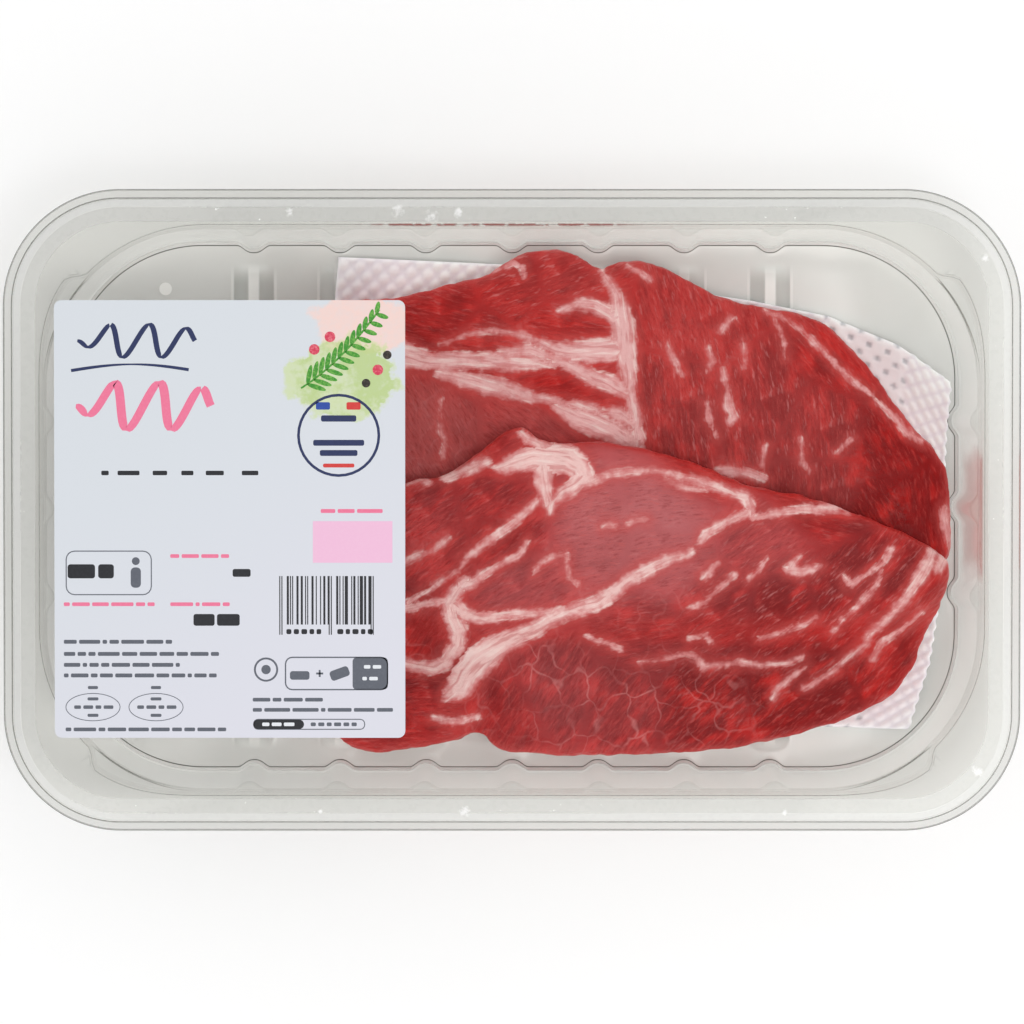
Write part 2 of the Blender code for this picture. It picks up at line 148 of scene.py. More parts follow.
# Fat seams as (x, y, half width) in pixels of the photograph, one run each
BACK_SEAMS = (
    ((602, 271, 2), (608, 282, 4), (617, 295, 5), (619, 309, 9), (622, 324, 12), (624, 342, 11),
     (626, 358, 10), (629, 376, 7), (631, 394, 4), (635, 413, 6), (637, 440, 6), (640, 452, 5)),
    ((559, 312, 1), (577, 304, 4), (595, 306, 6), (610, 313, 7), (620, 322, 8)),
    ((440, 345, 0.5), (473, 333, 1), (497, 331, 1.5), (519, 334, 2), (537, 341, 3),
     (551, 347, 5), (568, 351, 9), (591, 351, 12), (613, 349, 12)),
    ((300, 352, 12), (350, 352, 12), (400, 354, 13), (418, 358, 10), (431, 361, 7),
     (459, 361, 8), (486, 361, 8), (508, 362, 8.5), (522, 363, 7), (538, 362, 5), (553, 366, 2)),
    ((500, 353, 4), (530, 350, 6), (552, 358, 4), (575, 368, 6), (596, 378, 8), (612, 384, 8),
     (625, 392, 5)),
    ((440, 373, 5), (459, 378, 7), (486, 385, 9), (508, 390, 8), (522, 394, 6), (537, 398, 4),
     (551, 400, 3), (577, 405, 4), (596, 411, 5)),
    ((556, 406, 4), (577, 417, 11), (595, 423, 14), (613, 431, 11), (628, 440, 8), (640, 448, 5)),
    ((604, 411, 3), (620, 414, 6), (634, 424, 7), (640, 436, 5)),
    ((766, 311, 0.6), (787, 319, 1.2), (806, 334, 1.5), (823, 351, 1.6), (840, 370, 1.6),
     (859, 385, 1.8), (878, 401, 2), (893, 416, 2.6), (909, 433, 3), (922, 440, 2)),
    ((722, 368, 0.6), (727, 393, 1.5), (728, 406, 3.5), (734, 417, 4.5), (728, 424, 1)),
    ((708, 349, 1), (712, 362, 2.6), (709, 371, 1)),
    ((742, 345, 1), (745, 360, 1.2), (744, 367, 0.4)),
    ((732, 318, 2), (724, 326, 1.8), (720, 331, 0.5)),
    ((667, 346, 0.8), (672, 357, 1.1), (682, 374, 0.6)),
    ((775, 319, 0.6), (785, 343, 0.8), (784, 358, 0.4)),
    ((801, 438, 0.6), (802, 460, 1.1), (809, 471, 0.8)),
    ((765, 446, 0.8), (762, 467, 1.2)),
    ((706, 404, 1), (709, 418, 2.4), (717, 437, 0.8)),
    ((838, 452, 0.8), (846, 444, 1.2), (851, 440, 0.4)),
    ((441, 398, 0.5), (439, 414, 0.9), (441, 432, 0.8), (445, 441, 0.9), (442, 458, 0.5)),
    ((718, 470, 3), (732, 470, 5), (748, 473, 4), (762, 478, 4)),
    ((946, 508, 3), (946, 520, 5), (949, 534, 4), (952, 546, 2)),
    ((476, 273, 0.5), (500, 268, 1), (514, 262, 2), (522, 268, 1.5), (524, 276, 0.8)),
    ((628, 266, 1.2), (641, 273, 2), (652, 280, 1)),
)
FRONT_SEAMS = (
    ((497, 468, 3), (508, 465, 7), (520, 461, 10), (534, 457, 14), (551, 458, 16), (566, 459, 15),
     (579, 465, 11), (585, 475, 9), (574, 485, 7), (561, 493, 5), (551, 503, 4), (549, 513, 1.5)),
    ((543, 464, 10), (543, 478, 9), (545, 491, 6), (548, 503, 4)),
    ((522, 433, 3), (528, 438, 5), (538, 442, 4), (552, 448, 3)),
    ((486, 461, 4), (470, 468, 5), (455, 473, 5), (444, 477, 3)),
    ((409, 482, 1.5), (419, 478, 2.5), (428, 482, 1.5)),
    ((584, 484, 3), (596, 479, 2.6), (608, 475, 2.4), (629, 471, 2.6), (655, 470, 2.4),
     (667, 472, 2.6), (680, 477, 2.6), (699, 480, 4.4), (714, 485, 4.6), (733, 493, 3.4),
     (745, 496, 5.4), (749, 506, 4.4), (751, 514, 4)),
    ((664, 477, 0.8), (674, 484, 1.4), (690, 488, 2), (706, 489, 1)),
    ((752, 516, 3.5), (775, 512, 3.4), (800, 509, 4), (825, 507, 4), (842, 507, 4), (848, 510, 3)),
    ((749, 512, 4), (733, 518, 3), (718, 526, 3.2), (705, 533, 3.4), (699, 542, 1)),
    ((690, 551, 2), (686, 554, 3), (672, 557, 4), (657, 563, 5.6), (642, 572, 6), (629, 577, 5),
     (614, 591, 6.5), (597, 602, 7.5), (579, 608, 7), (564, 613, 6.5), (547, 621, 7),
     (534, 631, 7.5), (516, 638, 9), (497, 648, 12), (478, 662, 16), (466, 674, 17),
     (460, 686, 13), (451, 695, 7), (446, 700, 3)),
    ((552, 612, 2), (525, 613, 4), (503, 616, 4.8), (488, 618, 5.4), (475, 618, 6), (463, 613, 7),
     (454, 604, 7)),
    ((466, 580, 5), (457, 590, 6.5), (449, 603, 6.5), (452, 618, 8), (458, 632, 8.5),
     (457, 647, 7), (446, 663, 6), (434, 670, 6.5), (417, 669, 5.5), (400, 664, 5)),
    ((446, 601, 3), (428, 603, 3.4), (408, 608, 4), (390, 612, 3)),
    ((537, 500, 1.2), (523, 514, 2.4), (512, 523, 3.6), (497, 534, 4), (482, 545, 3.4),
     (467, 556, 2.6), (459, 569, 0.8), (438, 582, 1.8), (417, 597, 1.8), (408, 602, 2)),
    ((527, 542, 1.6), (519, 554, 2.6), (503, 562, 2.2), (488, 571, 3), (473, 582, 5),
     (460, 586, 6)),
    ((448, 537, 1), (434, 550, 1.4), (419, 554, 1.8), (404, 562, 1.4)),
    ((603, 527, 0.8), (607, 524, 2.2), (615, 524, 1.2)),
    ((627, 523, 0.8), (637, 520, 1.3), (647, 518, 0.6)),
    ((567, 552, 0.9), (566, 564, 1), (569, 575, 0.8), (577, 583, 0.8)),
    ((534, 573, 0.8), (540, 563, 1.3), (551, 556, 1.1), (562, 554, 0.9)),
    ((936, 543, 4), (925, 565, 6), (914, 583, 5), (903, 600, 4), (888, 619, 3), (872, 634, 2.8),
     (868, 646, 2), (850, 659, 1.5), (836, 672, 1.5), (825, 680, 1.4), (806, 689, 2)),
    ((922, 614, 1.2), (911, 625, 1.5), (898, 634, 1.5), (882, 645, 1.3), (875, 661, 0.8)),
    ((949, 550, 5), (944, 558, 7), (938, 568, 5)),
    ((786, 568, 3), (799, 571, 4), (812, 568, 2.2), (820, 567, 0.8)),
    ((797, 556, 1), (792, 563, 2.4), (787, 569, 3)),
    ((842, 576, 1), (848, 583, 3.6), (855, 580, 2), (865, 573, 1.2), (882, 562, 1.6),
     (889, 549, 2.2)),
    ((690, 607, 1.4), (703, 602, 1.6), (713, 592, 1), (722, 584, 1.2), (734, 574, 1.4)),
    ((766, 556, 0.8), (757, 570, 1.2), (747, 578, 0.8)),
    ((880, 570, 0.8), (875, 583, 1.1), (859, 603, 0.9), (848, 615, 0.6)),
    ((842, 619, 0.8), (834, 632, 1.1)),
    ((704, 577, 2), (711, 568, 2.6), (717, 562, 1)),
    ((640, 664, 0.6), (662, 661, 0.8), (686, 656, 1), (697, 659, 2.2), (706, 669, 3),
     (724, 666, 1.3), (741, 664, 2), (766, 667, 1), (791, 665, 1.4), (805, 658, 0.8)),
    ((690, 640, 0.8), (707, 636, 1.2), (712, 646, 0.8)),
    ((775, 700, 0.8), (780, 690, 1.8), (792, 680, 1), (808, 668, 0.6)),
    ((760, 640, 0.7), (785, 632, 1), (802, 626, 1.6), (815, 618, 0.7)),
    ((434, 720, 2), (447, 723, 3), (462, 724, 2.4), (478, 719, 1)),
    ((600, 640, 0.8), (611, 646, 2.2), (620, 650, 0.9)),
    ((585, 637, 0.8), (600, 643, 1.2)),
)

# Muscles as (x, y) in the photograph, fibre angle in degrees, and shares of pale, deep, net, streak
BACK_MUSCLES = (
    (520, 285, 20, 0.20, 0.10, 0.0, 0.9),
    (560, 275, 25, 0.30, 0.00, 0.0, 0.9),
    (440, 315, -8, 0.10, 0.10, 0.0, 0.35),
    (480, 348, -4, 0.10, 0.30, 0.0, 0.3),
    (560, 328, -6, 0.10, 0.20, 0.0, 0.3),
    (560, 385, 15, 0.02, 0.00, 0.0, 0.1),
    (430, 430, -60, 0.85, 0.0, 0.3, 0.3),
    (360, 420, -60, 0.70, 0.0, 0.3, 0.3),
    (530, 430, -35, 0.65, 0.15, 0.0, 0.2),
    (700, 320, -72, 0.32, 0.10, 0.0, 0.6),
    (680, 400, -80, 0.32, 0.40, 0.0, 0.7),
    (760, 400, -78, 0.32, 0.42, 0.0, 0.8),
    (820, 430, -80, 0.30, 0.40, 0.0, 0.7),
    (820, 490, -85, 0.35, 0.60, 0.0, 0.5),
    # Painted shadow: full deep red under the front chop's upper edge
    (880, 518, -60, 0.00, 1.00, 0.0, 0.1),
    (900, 440, -60, 0.0, 0.50, 0.0, 0.05),
    (930, 500, -80, 0.0, 0.60, 0.0, 0.05),
    (850, 350, -50, 0.05, 0.20, 0.0, 0.2),
)
FRONT_MUSCLES = (
    (430, 515, 35, 0.20, 0.15, 0.0, 0.4),
    (500, 450, 30, 0.15, 0.00, 0.0, 0.2),
    (490, 500, 35, 0.15, 0.15, 0.0, 0.3),
    (500, 535, 38, 0.10, 0.35, 0.0, 0.3),
    (700, 458, -10, 0.02, 0.05, 0.0, 0.1),
    (800, 500, -8, 0.02, 0.15, 0.0, 0.1),
    (660, 510, 6, 0.95, 0.00, 0.0, 0.35),
    (600, 530, 12, 0.80, 0.05, 0.0, 0.4),
    (520, 590, 30, 0.45, 0.15, 0.2, 0.3),
    (660, 545, 15, 0.85, 0.00, 0.0, 0.3),
    (445, 555, 40, 0.15, 0.15, 0.0, 0.3),
    (415, 630, 60, 0.05, 0.35, 0.4, 0.1),
    (430, 700, 5, 0.10, 0.10, 0.0, 0.3),
    (390, 740, 5, 0.05, 0.25, 0.0, 0.3),
    (500, 720, 60, 0.15, 0.05, 0.5, 0.2),
    (560, 690, 60, 0.30, 0.30, 1.0, 0.1),
    (620, 700, 55, 0.22, 0.35, 1.0, 0.1),
    (640, 640, 15, 0.20, 0.40, 0.5, 0.4),
    (720, 620, 35, 0.15, 0.35, 0.2, 0.7),
    (700, 700, 45, 0.05, 0.55, 0.6, 0.4),
    (780, 620, 42, 0.06, 0.50, 0.0, 0.8),
    (850, 600, 48, 0.08, 0.42, 0.0, 0.8),
    (800, 700, 40, 0.00, 0.50, 0.1, 0.4),
    (900, 650, 50, 0.02, 0.15, 0.0, 0.4),
    (770, 530, 35, 0.40, 0.05, 0.0, 0.5),
)


def photo_place(x, y, height):
    """The place at a height that a pixel of the photograph looks at."""
    drop = FLANGE_TOP - height
    stretch = PIXEL * (1.0 + drop / CAMERA_ABOVE_FLANGE)
    across = (x - PHOTO_MIDDLE[0]) * stretch
    along = (PHOTO_MIDDLE[1] - y) * stretch - drop * VIEW_LEAN
    return Vector((across, along))


def srgb(red, green, blue):
    """A colour as a picture holds it, 0 to 255, turned into light."""
    light = []
    for level in (red, green, blue):
        share = level / 255.0
        light.append(share / 12.92 if share <= 0.04045 else ((share + 0.055) / 1.055) ** 2.4)
    return (*light, 1.0)


def smoothstep(value):
    t = min(max(value, 0.0), 1.0)
    return t * t * (3.0 - 2.0 * t)


class Wire:
    """An output socket that takes part in Python expressions."""

    def __init__(self, paint, socket):
        self.paint = paint
        self.socket = socket

    def maths(self, operation, first, second):
        return self.paint.add("ShaderNodeMath", {"operation": operation}, {0: first, 1: second})

    def __add__(self, other):
        return self.maths("ADD", self, other)

    def __radd__(self, other):
        return self.maths("ADD", other, self)

    def __sub__(self, other):
        return self.maths("SUBTRACT", self, other)

    def __rsub__(self, other):
        return self.maths("SUBTRACT", other, self)

    def __mul__(self, other):
        return self.maths("MULTIPLY", self, other)

    def __rmul__(self, other):
        return self.maths("MULTIPLY", other, self)

    def __truediv__(self, other):
        return self.maths("DIVIDE", self, other)

    def power(self, other):
        return self.maths("POWER", self, other)

    def lowest(self, other):
        return self.maths("MINIMUM", self, other)

    def highest(self, other):
        return self.maths("MAXIMUM", self, other)

    def size(self):
        return self.maths("ABSOLUTE", self, 0.0)


class Paint:
    """A material whose nodes are added one call at a time."""

    def __init__(self, name):
        self.material = bpy.data.materials.new(name)
        self.material.use_nodes = True
        self.tree = self.material.node_tree
        self.tree.nodes.clear()
        self.output = self.tree.nodes.new("ShaderNodeOutputMaterial")

    def add(self, kind, settings=None, inputs=None, output=0):
        """Adds a node: its settings first, then the values or wires of its sockets."""
        node = self.tree.nodes.new(kind)
        for name, setting in (settings or {}).items():
            setattr(node, name, setting)
        for name, value in (inputs or {}).items():
            if isinstance(value, Wire):
                self.tree.links.new(value.socket, node.inputs[name])
            else:
                node.inputs[name].default_value = value
        return Wire(self, node.outputs[output])

    def place(self):
        """Object coordinates in millimetres."""
        metres = self.add("ShaderNodeTexCoord", output="Object")
        return self.add(
            "ShaderNodeVectorMath", {"operation": "SCALE"}, {0: metres, "Scale": 1000.0}
        )

    def axes(self, vector):
        split = self.add("ShaderNodeSeparateXYZ", None, {0: vector})
        node = split.socket.node
        return [Wire(self, node.outputs[i]) for i in range(3)]

    def shifted(self, vector, amount, other):
        """A vector moved by a share of another."""
        step = self.add("ShaderNodeVectorMath", {"operation": "SCALE"}, {0: other, "Scale": amount})
        return self.add("ShaderNodeVectorMath", {"operation": "ADD"}, {0: vector, 1: step})

    def stretched(self, vector, sizes):
        return self.add("ShaderNodeVectorMath", {"operation": "MULTIPLY"}, {0: vector, 1: sizes})

    def attribute(self, name, output="Fac"):
        return self.add("ShaderNodeAttribute", {"attribute_name": name}, None, output)

    def noise(self, vector, scale, detail=2.0, roughness=0.5, dimensions="3D"):
        return self.add(
            "ShaderNodeTexNoise", {"noise_dimensions": dimensions},
            {"Vector": vector, "Scale": scale, "Detail": detail, "Roughness": roughness},
        )

    def noise_colour(self, vector, scale, detail=2.0):
        return self.add(
            "ShaderNodeTexNoise", {"noise_dimensions": "2D"},
            {"Vector": vector, "Scale": scale, "Detail": detail}, 1,
        )

    def cell_edge(self, vector, scale):
        return self.add(
            "ShaderNodeTexVoronoi",
            {"voronoi_dimensions": "2D", "feature": "DISTANCE_TO_EDGE"},
            {"Vector": vector, "Scale": scale},
        )

    def step(self, value, start, end):
        """0 to 1 as the value goes from start to end, which may fall."""
        return self.add(
            "ShaderNodeMapRange", {"interpolation_type": "SMOOTHSTEP"},
            {"Value": value, "From Min": start, "From Max": end, "To Min": 0.0, "To Max": 1.0},
        )

    def blend(self, share, first, second):
        """One colour turning into another."""
        return self.add(
            "ShaderNodeMix", {"data_type": "RGBA"}, {0: share, 6: first, 7: second}, 2
        )

    def bump(self, height, strength, distance):
        inputs = {"Height": height, "Strength": strength, "Distance": distance}
        return self.add("ShaderNodeBump", None, inputs)

    def surface(self, inputs):
        return self.add("ShaderNodeBsdfPrincipled", None, inputs)

    def finish(self, shader):
        self.tree.links.new(shader.socket, self.output.inputs["Surface"])
        return self.material


def rounded_distance(paint, place, half_x, half_y, radius):
    """Distance in millimetres from a rounded rectangle's outline, negative inside."""
    x, y, _ = paint.axes(place)
    over_x = x.size() - (half_x - radius)
    over_y = y.size() - (half_y - radius)
    out_x = over_x.highest(0.0)
    out_y = over_y.highest(0.0)
    outside = (out_x * out_x + out_y * out_y).power(0.5)
    inside = over_x.highest(over_y).lowest(0.0)
    return outside + inside - radius


def band(paint, distance, start, end, soft=0.15):
    """1 between two distances."""
    past_start = paint.step(distance, start - soft, start + soft)
    return past_start * paint.step(distance, end + soft, end - soft)


def spot(paint, place, centre, radius, soft):
    """1 within a round spot of the flange's plane."""
    x, y, _ = paint.axes(place)
    dx = x - centre[0]
    dy = y - centre[1]
    return paint.step((dx * dx + dy * dy).power(0.5), radius + soft, radius - soft)


def new_piece(name, bm, material, smooth=True, sharp=None):
    """Makes an object of a finished bmesh; edges sharper than an angle in degrees stay sharp."""
    mesh = bpy.data.meshes.new(name)
    bm.to_mesh(mesh)
    bm.free()
    if smooth:
        mesh.shade_smooth()
    if sharp is not None:
        mesh.set_sharp_from_angle(angle=math.radians(sharp))
    mesh.materials.append(material)
    piece = bpy.data.objects.new(name, mesh)
    bpy.context.scene.collection.objects.link(piece)
    return piece


def set_modifiers_in(piece):
    """Replaces a piece's mesh by what its modifiers make of it."""
    graph = bpy.context.evaluated_depsgraph_get()
    mesh = bpy.data.meshes.new_from_object(piece.evaluated_get(graph))
    piece.modifiers.clear()
    piece.data = mesh
    return piece


# Tray

# The wall's cross section: turns of the floor's fillet and the rim's round as (degrees, crease),
# the ledge as (rise, share of the pocket, crease) and the lip as (inset, drop, crease)
# A crease value sets how strongly a painted dark line of shade is drawn along that turn
FILLET_TURNS = ((14, 0.0), (20, 1.0), (27, 1.0), (33, 0.0), (50, 0.0), (70, 0.0), (90, 0.0))
RIM_TURNS = ((20, 0.0), (32, 1.0), (42, 1.0), (54, 0.0), (72, 0.0), (90, 0.0))
LEDGE_STEPS = (
    (-0.2, 0.0, 0.0), (0.0, 0.01, 0.0), (0.03, 0.03, 1.0), (0.06, 0.10, 1.0),
    (0.1, 0.14, 0.0), (0.4, 0.6, 0.0), (0.7, 0.93, 0.0), (1.1, 0.97, 0.0),
)
LIP_STEPS = (
    (8.2, 0.0, 0.0), (2.6, 0.0, 0.0), (2.4, 0.05, 1.0), (2.15, 0.3, 1.0), (2.0, 0.45, 0.0),
    (1.3, 0.9, 0.0), (0.5, 1.1, 0.0), (0.2, 1.2, 0.9), (0.0, 1.4, 0.9),
)
WALL_STEPS = 5
COLUMN_TOP_STEPS = 7

# Where the floor and wall sheets end, and the cuts across and at the ends of a rib
FLOOR_SHEET_TOP = 2.4 * MM
WALL_SHEET_TOP = 26 * MM
RIB_CUTS = (-5.7, -4.9, -4.1, -3.3, -2.4, -1.3, 1.3, 2.4, 3.3, 4.1, 4.9, 5.7)
RIB_END_CUTS = (0.0, 0.8, 1.6, 2.3, 3.0)

CLEAR = srgb(254, 254, 253)
SHADED = srgb(236, 236, 234)
# Painted shade: the dark grey drawn along the sheet's sharp turns and the film's cut edge, and
# further down how solid that line is
EDGE_SHADE = srgb(104, 106, 100)
JUICE = srgb(206, 110, 102)
SHEET_ROUGHNESS = 0.16
EDGE_SHADE_SOLID = 0.55
JUICE_SOLID = 0.4

# The moulded dot in the floor, in millimetres
FLOOR_DOT = (-91.0, 57.2)
FLOOR_DOT_RADIUS = 1.6


def column_bump(offset):
    """How far a wall's column reaches inwards at a distance from its middle."""
    share = min(abs(offset) / COLUMN_HALF_WIDTH, 1.0)
    return COLUMN_DEPTH * 0.5 * (1.0 + math.cos(math.pi * share ** COLUMN_FLANK))


def pocket_bump(share):
    """How far a corner pocket reaches outwards, by the share of the way from its start."""
    rise = smoothstep(share / POCKET_RISE_SHARE)
    fade = smoothstep((share - POCKET_FADE_FROM) / (1.0 - POCKET_FADE_FROM))
    return POCKET_DEPTH * rise * (1.0 - fade)


def side_offsets(count):
    """The points that a wall's columns need, as (distance along the wall, column's bump)."""
    first = -0.5 * (count - 1) * COLUMN_PITCH
    offsets = []
    for column in range(count):
        middle = first + column * COLUMN_PITCH
        for step in range(COLUMN_STEPS + 1):
            along = (2.0 * step / COLUMN_STEPS - 1.0) * COLUMN_HALF_WIDTH
            offsets.append((middle + along, column_bump(along)))
    return offsets


def tray_ring(half_x, half_y, radius, columns=0.0, pockets=0.0):
    """One closed outline of the tray as (place, share of a pocket), anticlockwise from above."""
    ring = []
    sides = (
        (0.0, half_x, half_y, SHORT_SIDE_COLUMNS, "start"),
        (0.5 * math.pi, half_y, half_x, LONG_SIDE_COLUMNS, "end"),
        (math.pi, half_x, half_y, SHORT_SIDE_COLUMNS, "end"),
        (1.5 * math.pi, half_y, half_x, LONG_SIDE_COLUMNS, "start"),
    )
    for turn, reach, half_run, count, pocket_at in sides:
        outward = Vector((math.cos(turn), math.sin(turn)))
        along = Vector((-math.sin(turn), math.cos(turn)))
        for offset, bump in side_offsets(count):
            ring.append((outward * (reach - bump * columns) + along * offset, 0.0))
        centre = outward * (reach - radius) + along * (half_run - radius)
        for step in range(CORNER_STEPS + 1):
            share = step / CORNER_STEPS
            from_middle = 1.0 - 2.0 * share if pocket_at == "start" else 2.0 * share - 1.0
            bump = pocket_bump(from_middle) if from_middle > 0.0 else 0.0
            angle = turn + share * 0.5 * math.pi
            way = Vector((math.cos(angle), math.sin(angle)))
            ring.append((centre + (radius + bump * pockets) * way, bump / POCKET_DEPTH))
    return ring


def tray_stations():
    """The tray's inner surface, from the floor's edge out to the lip, as (height, ring, crease)."""
    stations = []

    def draft(height):
        return RIM_OUTSET * height / FLANGE_TOP

    def wall(height, outset, columns=0.0, pockets=0.0, crease=0.0):
        radius = FLOOR_CORNER + (RIM_CORNER - FLOOR_CORNER) * max(outset, 0.0) / RIM_OUTSET
        half_x = FLOOR_HALF_X + outset
        half_y = FLOOR_HALF_Y + outset
        ring = tray_ring(half_x, half_y, radius + min(outset, 0.0), columns, pockets)
        stations.append((height, ring, crease))

    fillet_top = draft(SHEET + FLOOR_FILLET)
    wall(SHEET, fillet_top - FLOOR_FILLET, 1.0)
    for degrees, crease in FILLET_TURNS:
        angle = math.radians(degrees)
        rise = FLOOR_FILLET * (1.0 - math.cos(angle))
        wall(SHEET + rise, fillet_top - FLOOR_FILLET * (1.0 - math.sin(angle)), 1.0, 0.0, crease)
    foot = SHEET + FLOOR_FILLET
    for step in range(1, WALL_STEPS + 1):
        height = foot + (COLUMN_SHOULDER - foot) * step / WALL_STEPS
        wall(height, draft(height), 1.0)
    for step in range(1, COLUMN_TOP_STEPS + 1):
        share = step / COLUMN_TOP_STEPS
        height = COLUMN_SHOULDER + (COLUMN_TOP - COLUMN_SHOULDER) * math.sin(0.5 * math.pi * share)
        wall(height, draft(height), math.sqrt(max(1.0 - share * share, 0.0)))
    for rise, pockets, crease in LEDGE_STEPS:
        wall(LEDGE_HEIGHT + rise * MM, draft(LEDGE_HEIGHT), 0.0, pockets, crease)
    wall(FLANGE_TOP - RIM_ROUND, draft(FLANGE_TOP - RIM_ROUND), 0.0, 1.0)
    for degrees, crease in RIM_TURNS:
        angle = math.radians(degrees)
        drop = RIM_ROUND * (1.0 - math.sin(angle))
        wall(FLANGE_TOP - drop, RIM_OUTSET + RIM_ROUND * (1.0 - math.cos(angle)), 0.0, 1.0, crease)
    for inset, drop, crease in LIP_STEPS:
        half_x = 0.5 * TRAY_LENGTH - inset * MM
        half_y = 0.5 * TRAY_WIDTH - inset * MM
        ring = tray_ring(half_x, half_y, FLANGE_CORNER - inset * MM)
        stations.append((FLANGE_TOP - drop * MM, ring, crease))
    return stations


def rib_height(x, y):
    """Height of the ribs pressed up into the floor."""
    nearest = max(-3, min(3, round(x / COLUMN_PITCH)))
    off = abs(x - nearest * COLUMN_PITCH)
    across = 1.0 - smoothstep((off - RIB_HALF_TOP) / (RIB_HALF_WIDTH - RIB_HALF_TOP))
    along = smoothstep((RIB_HALF_LENGTH - abs(y)) / RIB_END_SLOPE)
    return RIB_HEIGHT * across * along


def cut_floor(bm):
    """Cuts the flat floor along the ribs' edges and presses the ribs up."""
    cuts = []
    for column in range(-3, 4):
        for offset in RIB_CUTS:
            cuts.append((Vector((column * COLUMN_PITCH + offset * MM, 0, 0)), Vector((1, 0, 0))))
    for side in (-1, 1):
        for inset in RIB_END_CUTS:
            length = RIB_HALF_LENGTH - inset * MM
            cuts.append((Vector((0, side * length, 0)), Vector((0, side, 0))))
    flat = SHEET + 0.005 * MM
    for place, normal in cuts:
        faces = [f for f in bm.faces if all(v.co.z < flat for v in f.verts)]
        parts = {item for f in faces for item in (f, *f.edges, *f.verts)}
        bmesh.ops.bisect_plane(
            bm, geom=list(parts), dist=0.0005 * MM, plane_co=place, plane_no=normal
        )
    for vert in bm.verts:
        if vert.co.z < flat:
            vert.co.z += rib_height(vert.co.x, vert.co.y)


def is_ledge(height):
    """Whether a ring belongs to the pockets' ledge, which has a crease only in the corners."""
    return abs(height - LEDGE_HEIGHT) < 2.0 * MM


def make_tray(floor, wall, rim, below, below_rim):
    """The tray's sheet: its inner face drawn out ring by ring, then given its thickness."""
    bm = bmesh.new()
    crease_layer = bm.verts.layers.float.new("crease")
    stations = tray_stations()
    height, ring, crease = stations[0]
    verts = [bm.verts.new((place.x, place.y, height)) for place, _ in ring]
    bm.faces.new(verts)
    edges = [bm.edges.get((verts[i - 1], verts[i])) for i in range(len(verts))]
    for height, ring, crease in stations[1:]:
        drawn = set(bmesh.ops.extrude_edge_only(bm, edges=edges)["geom"])
        outer_verts = []
        for vert, (place, pocket) in zip(verts, ring):
            new = next(e.other_vert(vert) for e in vert.link_edges if e.other_vert(vert) in drawn)
            new.co = (place.x, place.y, height)
            new[crease_layer] = crease * smoothstep(pocket * 6.0) if is_ledge(height) else crease
            outer_verts.append(new)
        verts = outer_verts
        edges = [bm.edges.get((verts[i - 1], verts[i])) for i in range(len(verts))]
    cut_floor(bm)
    bmesh.ops.recalc_face_normals(bm, faces=bm.faces)
    if min(bm.faces, key=lambda f: f.calc_center_median().length).normal.z < 0.0:
        bmesh.ops.reverse_faces(bm, faces=bm.faces)
    for face in bm.faces:
        height = face.calc_center_median().z
        face.material_index = 0 if height < FLOOR_SHEET_TOP else 2 if height < WALL_SHEET_TOP else 4
    piece = new_piece("tray_shell", bm, floor, sharp=50)
    for material in (below, wall, below, rim, below_rim):
        piece.data.materials.append(material)
    sheet = piece.modifiers.new("sheet", "SOLIDIFY")
    sheet.thickness = SHEET
    sheet.offset = -1.0
    sheet.use_even_offset = True
    sheet.material_offset = 1
    return piece


def finish_sheet(paint, tint, body, roughness, solid):
    """A clear sheet with a share of glossy solid plastic in it."""
    clear = paint.add("ShaderNodeBsdfTransparent", None, {"Color": tint})
    sheen = paint.surface({"Base Color": body, "Roughness": roughness, "IOR": 1.5})
    return paint.finish(paint.add("ShaderNodeMixShader", None, {0: solid, 1: clear, 2: sheen}))


def crease_shade_line(paint):
    """1 along the tray's sharp turns, whose crease attribute the mesh carries: where a painted dark
    line of shade is drawn.
    """
    return paint.step(paint.attribute("crease"), 0.45, 0.95)


def seen_edge_on(paint):
    """The share of solid plastic that a clear sheet shows as it turns away from the eye."""
    turned = paint.add("ShaderNodeLayerWeight", None, {"Blend": 0.2}, 1)
    return paint.step(turned, 0.12, 1.0) * 0.34


def outer_sheet(name, tint):
    """The tray's outer face: clear, and whiter where it is seen edge on."""
    paint = Paint(name)
    haze = paint.noise(paint.place(), 0.04, 0.0)
    body = paint.blend(haze, srgb(220, 222, 219), srgb(232, 234, 231))
    return finish_sheet(paint, tint, body, SHEET_ROUGHNESS + haze * 0.04, seen_edge_on(paint))


def wall_juice(paint, place):
    """Where juice has run down the inside of the right end wall."""
    x, y, z = paint.axes(place)
    drops = paint.noise(paint.stretched(place, (1.0, 1.0, 0.4)), 0.14, 2.0)
    low_edge = paint.step(z + drops * 16.0, 12.0, 26.0)
    reach = paint.step((y + 1.0).size() + drops * 12.0, 25.0, 18.0)
    return paint.step(x, 114.0, 116.0) * reach * low_edge * paint.step(z, 39.6, 37.0)


def wall_sheet():
    """The tray's inner wall: clear, with painted dark lines of shade where it turns and juice on
    the right.
    """
    paint = Paint("clear tray wall")
    place = paint.place()
    haze = paint.noise(place, 0.04, 0.0)
    juice = wall_juice(paint, place)
    # Painted shade: a dark line along the wall's turns
    line = crease_shade_line(paint)
    body = paint.blend(haze, srgb(232, 233, 229), srgb(242, 243, 239))
    body = paint.blend(line, body, EDGE_SHADE)
    body = paint.blend(juice, body, JUICE)
    solid = seen_edge_on(paint) + line * EDGE_SHADE_SOLID + juice * JUICE_SOLID
    return finish_sheet(paint, CLEAR, body, SHEET_ROUGHNESS, solid.lowest(1.0))


